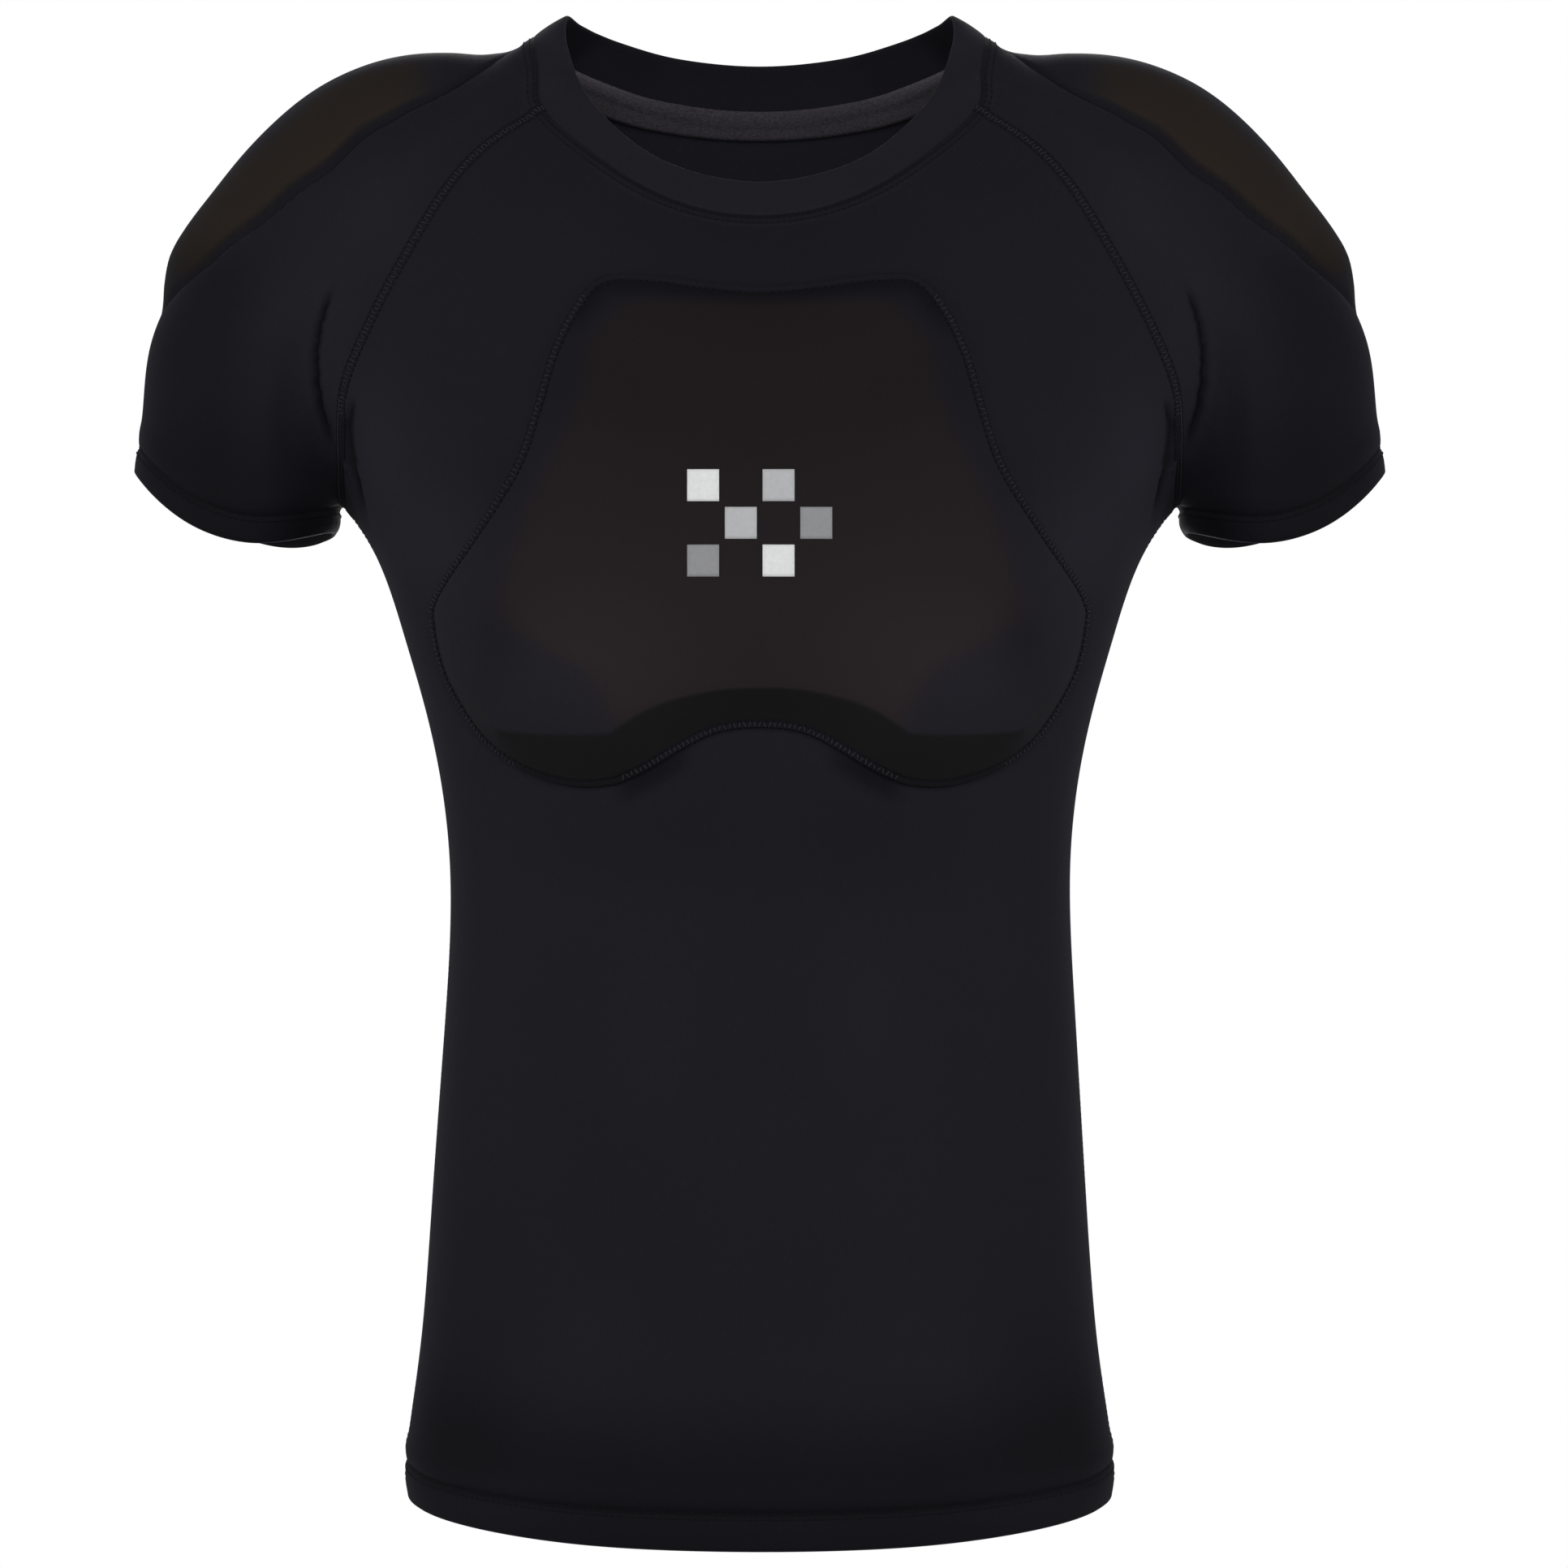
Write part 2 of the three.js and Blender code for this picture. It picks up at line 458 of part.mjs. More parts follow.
// places inside a triangle, as shares of its second and third corners
const INSIDE = [];
for (let i = 0; i <= 4; i++) for (let j = 0; i + j <= 4; j++) if (i % 4 || j % 4) INSIDE.push([i / 4, j / 4]);

// ---- chest pad: foam in a sewn cover, lying on the front panel ----
function around(rows, x, z, steps) {
  // one side's table as a closed outline, read smoothly and evenly
  const half = rows.map((r) => [r[x], r[z]]);
  const loop = [...half, ...half.slice(1, -1).reverse().map(([a, b]) => [-a, b])];
  const n = loop.length, out = [];
  for (let i = 0; i < steps; i++) {
    const s = (i / steps) * n, k = Math.floor(s), t = s - k;
    const [p0, p1, p2, p3] = [-1, 0, 1, 2].map((o) => loop[(k + o + n) % n]);
    out.push([0, 1].map((c) => 0.5 * (2 * p1[c] + (p2[c] - p0[c]) * t + (2 * p0[c] - 5 * p1[c] + 4 * p2[c] - p3[c]) * t * t + (3 * p1[c] - p0[c] - 3 * p2[c] + p3[c]) * t ** 3)));
  }
  return out;
}
function chestPad() {
  const steps = 52, seam = around(CHEST_PAD, "seamX", "seamZ", steps), face = around(CHEST_PAD, "faceX", "faceZ", steps);
  // rings from the middle to the seam: share of the way, and the height there
  const rings = [
    { from: "centre", share: 0.2, height: CHEST_FOAM + 1 },
    { from: "centre", share: 0.4, height: CHEST_FOAM + 0.9 },
    { from: "centre", share: 0.6, height: CHEST_FOAM + 0.7 },
    { from: "centre", share: 0.81, height: CHEST_FOAM + 0.3 },
    { from: "centre", share: 1, height: CHEST_FOAM - 0.6 },
    { from: "face", share: 0.45, height: CHEST_FOAM * 0.58 },
    { from: "face", share: 0.8, height: CHEST_FLANGE + 0.5 },
    { from: "face", share: 1, height: CHEST_FLANGE },
  ];
  const hits = rings.map((r) => Array.from({ length: steps }, (_, i) => {
    const [x, z] = r.from === "centre"
      ? [mix(CHEST_CENTRE.x, face[i][0], r.share), mix(CHEST_CENTRE.z, face[i][1], r.share)]
      : [mix(face[i][0], seam[i][0], r.share), mix(face[i][1], seam[i][1], r.share)];
    return { ...meet([x, -400, z], [0, 1, 0], ["front"], false), gap: LAY_GAP };
  }));
  // lift the flat facets of the pad's back where they would dip into the panel
  for (let r = 0; r + 1 < rings.length; r++)
    for (let i = 0; i < steps; i++) {
      const k = (i + 1) % steps, [a, b, c, d] = [hits[r][i], hits[r + 1][i], hits[r + 1][k], hits[r][k]];
      const spots = [[a, b, c], [a, c, d], [a, b], [b, c], [a, c], [c, d], [a, d]];
      for (const [p, q] of [[a, b], [b, c], [a, c], [c, d], [a, d]]) spots.push([p, p, q], [p, q, q]);
      for (const group of spots) {
        const m = mean(group.map((h) => h.p)), under = meet([m[0], -400, m[2]], [0, 1, 0], ["front"], false);
        const dip = (m[1] - under.p[1]) * Math.abs(under.n[1]);
        for (const h of group) h.gap = Math.max(h.gap, LAY_GAP + 1.5 * dip);
      }
    }
  const under = hits.map((ring) => ring.map((h) => add(h.p, h.n, h.gap)));
  const top = hits.map((ring, r) => ring.map((h) => add(h.p, h.n, LAY_GAP + rings[r].height)));
  const s = slab(top, under, true);
  // close the small hole in the middle with two points
  const n = top.length * steps, mid = meet([CHEST_CENTRE.x, -400, CHEST_CENTRE.z], [0, 1, 0], ["front"], false);
  s.faces = s.faces.filter((f) => !(f.filter((i) => i % n < steps).length === 3));
  s.points.push(add(mid.p, mid.n, LAY_GAP + CHEST_FOAM + 1), add(mid.p, mid.n, LAY_GAP));
  for (let i = 0; i < steps; i++) {
    const k = (i + 1) % steps;
    s.faces.push([2 * n, i, k], [2 * n + 1, k + n, i + n]);
  }
  s.faces = s.faces.map(([a, b, c]) => [a, c, b]);
  return s;
}

// ---- shoulder pad: foam under the sleeve, from the sleeve's own skin ----
function shoulderPad(flip) {
  const low = SHOULDER_PAD[0].angle + 2.5, high = SHOULDER_PAD[SHOULDER_PAD.length - 1].angle - 2.5, grid = [];
  const across = [-0.97, -0.86, -0.7, -0.5, -0.25, 0, 0.25, 0.5, 0.7, 0.86, 0.97];
  for (let i = 0; i <= 16; i++) {
    const angle = mix(low, high, i / 16), rad = (angle * Math.PI) / 180, half = column(SHOULDER_PAD, angle, "half", "angle");
    // each foam point hangs from the sleeve's own facets, and its back from the skin without the pad
    grid.push(across.map((t) => {
      const from = [PAD_LINE.x, t * half, PAD_LINE.z], way = [Math.sin(rad), 0, Math.cos(rad)];
      const bare = meet(from, way, ["sleeve_left"], true);
      return { ...meet(from, way, ["sleeve_left"], true, dressed), bare: bare.p, from, way, gap: CLOTH + PAD_GAP };
    }));
  }
  for (let r = 0; r + 1 < grid.length; r++)
    for (let c = 0; c + 1 < across.length; c++) {
      const quadAt = [grid[r][c], grid[r + 1][c], grid[r + 1][c + 1], grid[r][c + 1]], [p, q, t, u] = quadAt;
      for (const group of [[p, q, t], [p, t, u]])
        for (const [i, j] of INSIDE) {
          const at = (key) => [0, 1, 2].map((c) => group[0][key][c] * (1 - i - j) + group[1][key][c] * i + group[2][key][c] * j);
          const m = at("p"), from = at("from"), way = unit(sub(m, from));
          const over = meet(from, way, ["sleeve_left"], true, dressed), dip = dot(sub(m, over.p), over.n);
          for (const h of group) h.gap = Math.max(h.gap, CLOTH + PAD_GAP + 1.1 * dip);
        }
    }
  const top = grid.map((row) => row.map((h) => add(h.p, h.n, -h.gap)));
  const under = grid.map((row) => row.map((h) => {
    const bare = add(h.bare, h.n, -CLOTH - PAD_GAP - PAD_SHEET), thin = add(h.p, h.n, -h.gap - PAD_SHEET);
    return near(bare, h.from) < near(thin, h.from) ? bare : thin;
  }));
  const s = slab(top, under);
  if (flip) { s.points = s.points.map(mirror); s.faces = s.faces.map(([a, b, c]) => [a, c, b]); }
  return s;
}

// ---- neckband: folded double, from the neck seam to its top edge ----
// the neck seam's points in order round the skin, from centre front
const neck = (() => {
  const rim = [...skinLinks.edges.values()].filter((e) => e.faces.length === 1 && skin.v[e.a][2] > -100 && skin.v[e.b][2] > -100);
  const next = new Map();
  for (const e of rim) for (const [a, b] of [[e.a, e.b], [e.b, e.a]]) next.set(a, [...(next.get(a) || []), b]);
  const start = [...next.keys()].reduce((a, b) => (skin.v[b][2] < skin.v[a][2] && skin.v[b][1] < 0 ? b : a));
  const out = [start];
  let now = next.get(start).reduce((a, b) => (skin.v[b][0] > skin.v[a][0] ? b : a)), was = start;
  while (now !== start) { out.push(now); const n = next.get(now).find((b) => b !== was); was = now; now = n; }
  return out;
})();
function bandTop(i) {
  const n = neck.length, s = (i / n) * 2 * (BAND_TOP.length - 1), rows = BAND_TOP.length;
  const at = (k) => {
    k = ((k % (2 * rows - 2)) + 2 * rows - 2) % (2 * rows - 2);
    const r = k < rows ? BAND_TOP[k] : BAND_TOP[2 * rows - 2 - k];
    return [k < rows ? r.x : -r.x, r.y, r.z];
  };
  const k = Math.floor(s), t = s - k, [p0, p1, p2, p3] = [k - 1, k, k + 1, k + 2].map(at);
  return [0, 1, 2].map((c) => 0.5 * (2 * p1[c] + (p2[c] - p0[c]) * t + (2 * p0[c] - 5 * p1[c] + 4 * p2[c] - p3[c]) * t * t + (3 * p1[c] - p0[c] - 3 * p2[c] + p3[c]) * t ** 3));
}
function neckband() {
  const front = [], back = [];
  // heights up the band: share of the way, and how much of the wall is left as it rounds over
  for (const [share, wall] of [[0, 0.6], [0.35, 1], [0.92, 0.9], [1, 0.35]]) {
    front.push(neck.map((v, i) => {
      const p = skin.v[v], top = bandTop(i), way = unit(sub(top, p)), out = unit(add(normals[v], way, -dot(normals[v], way)));
      const base = add(p, way, BAND_GAP), bow = 4 * share * (1 - share) * 0.8;
      return add(add(base, sub(top, base), share), out, bow - (BAND_WALL * (1 - wall)) / 2);
    }));
    back.push(neck.map((v, i) => {
      const p = skin.v[v], top = bandTop(i), way = unit(sub(top, p)), out = unit(add(normals[v], way, -dot(normals[v], way)));
      const base = add(p, way, BAND_GAP), bow = 4 * share * (1 - share) * 0.8;
      return add(add(base, sub(top, base), share), out, bow - BAND_WALL + (BAND_WALL * (1 - wall)) / 2);
    }));
  }
  return slab(front.reverse(), back.reverse(), true);
}
// ---- neck tape: inside the back of the neck, over the seam allowance ----
function neckTape() {
  const n = neck.length, from = Math.round(0.3 * n), to = n - from, front = [], back = [];
  const down = (v) => {
    // the next skin point straight below a neck point
    const e = skinLinks.around[v].edges.find((e) => e.faces.length === 2);
    return other(e, v);
  };
  for (const depth of [1.2, TAPE_DEPTH / 2, TAPE_DEPTH]) {
    const a = [], b = [];
    for (let i = from; i <= to; i++) {
      let v = neck[i], w = down(v), left = depth;
      while (near(skin.v[v], skin.v[w]) < left) {
        left -= near(skin.v[v], skin.v[w]);
        const on = skinLinks.around[w].edges.map((e) => other(e, w)).filter((k) => k !== v);
        const way = unit(sub(skin.v[w], skin.v[v]));
        const nextPoint = on.reduce((x, y) => (dot(unit(sub(skin.v[y], skin.v[w])), way) > dot(unit(sub(skin.v[x], skin.v[w])), way) ? y : x));
        v = w;
        w = nextPoint;
      }
      const t = left / near(skin.v[v], skin.v[w]);
      const p = add(skin.v[v], sub(skin.v[w], skin.v[v]), t), m = unit(add(normals[v].map((c) => c * (1 - t)), normals[w], t));
      a.push(add(p, m, -CLOTH - 0.6));
      b.push(add(p, m, -CLOTH - 0.6 - TAPE_WALL));
    }
    front.push(a);
    back.push(b);
  }
  return slab(front, back);
}

// ======== the shirt ========
const BLACK = new THREE.Color(0.012, 0.012, 0.015), WARM = new THREE.Color(0.016, 0.013, 0.011), GREY = new THREE.Color(0.052, 0.047, 0.055), FOAM = new THREE.Color(0.03, 0.03, 0.032);
const shirt = new THREE.Group();
const pieces = [
  ["front_panel", panel("front"), BLACK, 0.62],
  ["back_panel", panel("back"), BLACK, 0.62],
  ["sleeve_left", panel("sleeve_left"), BLACK, 0.62],
  ["sleeve_right", panel("sleeve_right"), BLACK, 0.62],
  ["neckband", neckband(), BLACK, 0.7],
  ["neck_tape", neckTape(), GREY, 0.9],
  ["chest_pad", chestPad(), WARM, 0.6],
  ["shoulder_pad_left", shoulderPad(false), FOAM, 0.85],
  ["shoulder_pad_right", shoulderPad(true), FOAM, 0.85],
];
for (const [name, { points, faces }, colour, roughness] of pieces) shirt.add(meshOf(name, points, faces, colour, roughness));
export default shirt;
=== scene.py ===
"""Padded compression shirt, short raglan sleeves, worn shape with no wearer in it.

The cloth is one smooth skin worked out from short tables of sections in millimetres, the same as in the CAD model,
refined further here. Each sewn piece is the part of that skin between its own seams, as a thin shell. The padded
pieces, the neckband, the tape, the seams and the stitches are made from that skin's own points.
"""
import json
import math

import bpy
import numpy as np
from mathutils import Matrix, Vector
from mathutils.bvhtree import BVHTree

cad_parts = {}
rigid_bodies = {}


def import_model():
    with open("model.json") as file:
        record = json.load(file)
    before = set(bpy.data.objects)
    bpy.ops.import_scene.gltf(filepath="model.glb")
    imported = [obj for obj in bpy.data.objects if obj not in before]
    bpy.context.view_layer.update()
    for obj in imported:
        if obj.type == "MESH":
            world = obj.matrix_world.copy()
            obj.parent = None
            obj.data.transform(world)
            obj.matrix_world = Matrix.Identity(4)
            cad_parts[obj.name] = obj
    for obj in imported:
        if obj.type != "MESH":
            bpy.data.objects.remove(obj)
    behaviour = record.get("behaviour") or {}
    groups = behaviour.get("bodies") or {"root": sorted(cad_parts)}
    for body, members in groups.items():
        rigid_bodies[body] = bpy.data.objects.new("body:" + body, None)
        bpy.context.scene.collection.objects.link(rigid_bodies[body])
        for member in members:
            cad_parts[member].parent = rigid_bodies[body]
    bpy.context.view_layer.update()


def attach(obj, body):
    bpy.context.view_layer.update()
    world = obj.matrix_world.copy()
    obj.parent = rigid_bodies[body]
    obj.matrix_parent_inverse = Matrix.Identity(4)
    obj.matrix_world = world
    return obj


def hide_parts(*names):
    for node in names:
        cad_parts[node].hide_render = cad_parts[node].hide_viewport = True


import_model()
MM = 0.001

# ---------------------------------------------------------------- camera: level, straight at the front
scene = bpy.context.scene
cam_data = bpy.data.cameras.new("camera")
camera = bpy.data.objects.new("camera", cam_data)
scene.collection.objects.link(camera)
scene.camera = camera
cam_data.sensor_width = 36.0
cam_data.lens = 93.04
cam_data.shift_x = 0.0155
cam_data.clip_end = 50.0
camera.location = (0.0, -1.8, -0.3245)
camera.rotation_euler = (math.radians(90), 0, 0)


# ---------------------------------------------------------------- tables, mm
def rows(names, table):
    return [dict(zip(names.split(), r)) for r in table]


CLOTH, HEM_WALL, BAND_WALL, TAPE_WALL = 1.2, 2.4, 2.2, 0.9
EDGE_SHIFT, HEM_DEPTH, CUFF_DEPTH, TAPE_DEPTH = 0.1, 15.0, 11.0, 13.0
CHEST_FOAM, CHEST_FLANGE, LAY_GAP, BAND_GAP = 12.0, 1.5, 0.5, 0.1

YOKE_FRONT = rows("centreY centreZ x y z lift", [
    (-78, -83, 94, -44, -32, 2.1), (-84, -91, 114, -58, -47, 2.0), (-90, -102, 131, -69, -66, 1.9),
    (-95.5, -117, 145.5, -75.5, -90, 1.8), (-100.5, -135, 158.5, -76, -113, 1.8), (-105, -154, 169.5, -72, -134, 1.8),
    (-108.5, -173, 178.5, -64, -156, 1.8), (-110.5, -192, 182, -43, -184, 1.8)])
YOKE_BACK = rows("centreY centreZ x y z lift", [
    (66, -18, 80, 42, -4, 2.0), (76, -38, 99, 57, -21, 2.0), (86, -62, 116, 70, -44, 1.9),
    (94.5, -88, 131, 78.5, -70, 1.8), (101, -115, 146, 81.5, -97, 1.8), (105.5, -142, 160, 79, -123, 1.8),
    (108, -168, 172.5, 69, -150, 1.8), (108.5, -192, 182, 44, -184, 1.8)])
YOKE_SLEEVE = rows("outX outZ widest halfFront halfBack", [
    (99.5, 6.5, 0, 44, 42), (124, -7, 0, 58, 57), (152, -13, 0, 69, 70), (181, -23, 0, 75.5, 78.5),
    (206, -41, 0.04, 76.2, 81.8), (230, -67.5, 0.14, 73.5, 80), (254, -99, 0.3, 69, 74), (269, -129.5, 0.45, 64, 67)])
UNDERARM = (184, 0, -203)
SLEEVE = rows("outX outZ inX inZ halfFront halfBack dropFront dropBack", [
    (273, -159, 187, -207.5, 61.5, 64, 8, 6), (277, -185.5, 189, -213, 59, 61, 18, 13)])
TRUNK = rows("z side front back square rise", [
    (-226, 168.5, 111, 108, 2.5, 0), (-262, 156, 110.5, 104.5, 2.45, 0), (-306, 144.4, 106, 96.5, 2.4, 0),
    (-362, 137.4, 100.5, 88.5, 2.3, 0), (-428, 139.6, 98, 88, 2.3, 0), (-500, 144.4, 99, 96.5, 2.3, 1),
    (-570, 149.3, 101.5, 106.5, 2.35, 3), (-620, 155.8, 104, 111, 2.35, 5.5), (-645, 155.9, 105, 112.5, 2.3, 7)])
BAND_TOP = [(0, -66, -66.5), (42, -59.5, -56), (72, -42, -29), (84, -19, -1), (86, 3, 17.2), (80, 24, 17),
            (66, 43, 13.6), (37, 58.5, 8), (0, 62, 5.2)]
PAD_LINE = (140, -133)
SHOULDER_PAD = rows("angle half foam", [
    (-15, 7, 0), (-10, 27, 3.5), (-3, 44, 8.5), (8, 52, 11.5), (22, 55, 12.5), (36, 55, 12.5), (46, 52, 12.5),
    (56, 47, 12), (66, 41, 11.5), (72, 36, 10), (77, 28, 6), (81, 18, 2), (84, 7, 0)])
PAD_BEVEL = 9.0
# crisp: 1 where the foam is cut with a sharp edge, 0 where it thins out softly over the way in "rise"
CHEST_PAD = rows("seamX seamZ faceX faceZ crisp rise", [
    (0, -116, 0, -122, 0, 42), (24, -114, 22, -120.5, 0, 42), (46, -111, 40, -119, 0, 40), (66, -111.5, 56, -121.5, 0, 38),
    (77, -122.5, 66, -132, 0, 36), (87, -143, 76, -152, 0, 34), (94, -167, 84, -174, 0, 33), (102, -190, 93, -195, 0, 32),
    (119, -217, 106, -218, 0, 32), (137.5, -243, 119, -240, 0, 32), (139.5, -256, 122, -254, 0, 31),
    (134, -279, 119, -272, 0.05, 30), (121, -301, 111, -290, 0.5, 28), (108.4, -313.2, 104.5, -298.8, 1, 26),
    (94, -321, 91.5, -301, 1, 26), (77, -325.3, 76, -301.7, 1, 26), (62, -324.5, 61.5, -301.5, 1, 26),
    (55, -322, 57.2, -299.2, 1, 26), (46, -317.6, 46, -292, 1, 26), (34, -310.3, 33, -287.2, 1, 26),
    (21, -303.6, 20, -284.4, 1, 26), (10, -301, 10, -283.3, 1, 26), (0, -300.5, 0, -283, 1, 26)])
CHEST_CENTRE = (0, -218)
# Creases: where they run (x, z), on which face, half width, depth, and the ridge beside them.
FOLDS = [
    dict(line=[(180, -111), (184, -118), (187.5, -128), (189.6, -141), (189.8, -153), (188.5, -164), (185.6, -174), (183.4, -186)], side=-1, width=1.15, depth=3.0, ridge=1.2),
    dict(line=[(172.5, -157), (175.2, -164), (177, -171), (177.2, -180), (176, -189), (173.4, -200), (170.3, -211)], side=-1, width=1.2, depth=2.6, ridge=1.6),
    dict(line=[(200, -146), (203, -166), (201, -186), (197, -201)], side=-1, width=5.0, depth=0.9, ridge=0.3),
    dict(line=[(176, -108), (183, -126), (186, -146), (184, -166), (180.5, -185)], side=1, width=1.5, depth=2.7, ridge=1.1),
    dict(line=[(170, -160), (173, -174), (171, -190), (166, -204)], side=1, width=2.0, depth=1.7, ridge=1.1),
    dict(line=[(160, -186), (154, -205), (146, -222)], side=1, width=6.0, depth=1.0, ridge=0.4),
    dict(line=[(60, -395), (92, -386), (121, -374)], side=1, width=8.0, depth=1.1, ridge=0.5),
    dict(line=[(40, -366), (76, -356), (112, -350)], side=1, width=7.0, depth=0.8, ridge=0.4),
]


# ---------------------------------------------------------------- helpers
def smooth(a, b, x):
    t = np.clip((x - a) / (b - a), 0, 1)
    return t * t * (3 - 2 * t)


def column(table, at, name, key):
    """A column of a table, read smoothly between its rows."""
    k = np.array([r[key] for r in table], float)
    v = np.array([r[name] for r in table], float)
    s = np.zeros(len(k))
    s[1:-1] = (v[2:] - v[:-2]) / (k[2:] - k[:-2])
    x = np.clip(np.asarray(at, float), k[0], k[-1])
    i = np.clip(np.searchsorted(k, x, "right") - 1, 0, len(k) - 2)
    h = k[i + 1] - k[i]
    t = (x - k[i]) / h
    return (v[i] * (1 + 2 * t) * (1 - t) ** 2 + v[i + 1] * t * t * (3 - 2 * t)
            + h * (s[i] * t * (1 - t) ** 2 - s[i + 1] * t * t * (1 - t)))


def unit(a):
    a = np.asarray(a, float)
    return a / np.maximum(np.linalg.norm(a, axis=-1, keepdims=True), 1e-12)


def spow(x, p):
    return math.copysign(abs(x) ** p, x)


# ---------------------------------------------------------------- the net of section points
HALF = 4
RING = 8 * HALF
verts, quads, tags = [], [], []


def put(p):
    verts.append([float(c) for c in p])
    return len(verts) - 1


def quad(a, b, c, d, tag):
    quads.append((a, b, c, d))
    tags.append(tag)


def mirror(p):
    return (-p[0], p[1], p[2])


def body_point(row, k, square=2.5):
    x = row["x"] * k / HALF
    depth, seam = abs(row["centreY"]), abs(row["y"])
    reach = row["x"] / (1 - (seam / depth) ** square) ** (1 / square)
    y = math.copysign(depth * (1 - (x / reach) ** square) ** (1 / square), row["y"])
    return (x, y, row["centreZ"] + (row["z"] - row["centreZ"]) * (x / row["x"]) ** row["lift"])


def sleeve_point(seam, over, half, m):
    dx, dz, inner = over["outX"] - seam["x"], over["outZ"] - seam["z"], over["widest"]
    depth = max(half, abs(seam["y"]) + 0.01)
    start = -math.acos(min(1, abs(seam["y"]) / depth)) if inner > 0 else 0
    angle = start + (math.pi / 2 - start) * m / HALF
    share = inner + inner * math.sin(angle) / math.sin(-start) if angle < 0 else inner + (1 - inner) * math.sin(angle)
    y = math.copysign((depth if inner > 0 else abs(seam["y"])) * math.cos(angle), seam["y"])
    return (seam["x"] + dx * share, y, seam["z"] + dz * share)


def yoke_half(j):
    f, b, s = YOKE_FRONT[j], YOKE_BACK[j], YOKE_SLEEVE[j]
    out = [body_point(f, k) for k in range(HALF + 1)]
    out += [sleeve_point(f, s, s["halfFront"], m) for m in range(1, HALF + 1)]
    out += [sleeve_point(b, s, s["halfBack"], m) for m in range(HALF - 1, -1, -1)]
    out += [body_point(b, k) for k in range(HALF - 1, -1, -1)]
    return out


yoke = []
for j in range(len(YOKE_FRONT)):
    half = yoke_half(j)
    yoke.append([put(half[i] if i <= RING // 2 else mirror(half[RING - i])) for i in range(RING)])
FRONT, BACK, LEFT, RIGHT = 0, 1, 2, 3
for j in range(len(yoke) - 1):
    for i in range(RING):
        tag = FRONT if i < HALF or i >= RING - HALF else LEFT if i < 3 * HALF else BACK if i < 5 * HALF else RIGHT
        n = (i + 1) % RING
        quad(yoke[j][i], yoke[j + 1][i], yoke[j + 1][n], yoke[j][n], tag)
last = yoke[-1]
arm = {LEFT: put(UNDERARM), RIGHT: put(mirror(UNDERARM))}


def trunk_point(row, k, back):
    angle = math.pi / 2 * k / (HALF + 1)
    return [row["side"] * spow(math.sin(angle), 2 / row["square"]),
            (row["back"] if back else -row["front"]) * spow(math.cos(angle), 2 / row["square"]),
            row["z"] + row["rise"] * math.sin(angle) ** 2]


above = last[:HALF + 1] + [arm[LEFT]] + last[3 * HALF:5 * HALF + 1] + [arm[RIGHT]] + last[7 * HALF:]
TR = len(above)
for row in TRUNK:
    half = [trunk_point(row, k, False) for k in range(HALF + 2)] + [trunk_point(row, k, True) for k in range(HALF, -1, -1)]
    half[HALF + 1][1] = 0
    ids = [put(half[i] if i <= TR // 2 else mirror(half[TR - i])) for i in range(TR)]
    for i in range(TR):
        n = (i + 1) % TR
        quad(above[i], ids[i], ids[n], above[n], FRONT if i <= HALF or i >= TR - HALF - 1 else BACK)
    above = ids
for side in (LEFT, RIGHT):
    flip = side == RIGHT
    start = 5 * HALF if flip else HALF
    ring = last[start:start + 2 * HALF + 1] + [arm[side]]
    for row in SLEEVE:
        ids = []
        for i in range(len(ring)):
            back = i < HALF if flip else i > HALF
            a = -math.pi / 2 if i == 2 * HALF + 1 else -0.3 * math.pi + 0.8 * math.pi * min(i, 2 * HALF - i) / HALF
            share, across = (1 + math.sin(a)) / 2, math.cos(a)
            p = [row["inX"] + (row["outX"] - row["inX"]) * share,
                 (row["halfBack"] if back else -row["halfFront"]) * across,
                 row["inZ"] + (row["outZ"] - row["inZ"]) * share - (row["dropBack"] if back else row["dropFront"]) * across ** 2]
            if i in (HALF, 2 * HALF + 1):
                p[1] = 0
            ids.append(put(mirror(p) if flip else p))
        for i in range(len(ring)):
            n = (i + 1) % len(ring)
            quad(ring[i], ids[i], ids[n], ring[n], side)
        ring = ids


# ---------------------------------------------------------------- subdivision, in arrays
def edges_of(V, Q):
    m = len(Q)
    E = np.concatenate([Q[:, [0, 1]], Q[:, [1, 2]], Q[:, [2, 3]], Q[:, [3, 0]]])
    S = np.sort(E, 1)
    key = S[:, 0].astype(np.int64) * len(V) + S[:, 1]
    u, first, inv, cnt = np.unique(key, return_index=True, return_inverse=True, return_counts=True)
    return S[first], inv.reshape(4, m).T, cnt, inv


def gather(index, values, n):
    return np.stack([np.bincount(index, values[:, c], n) for c in range(3)], 1)


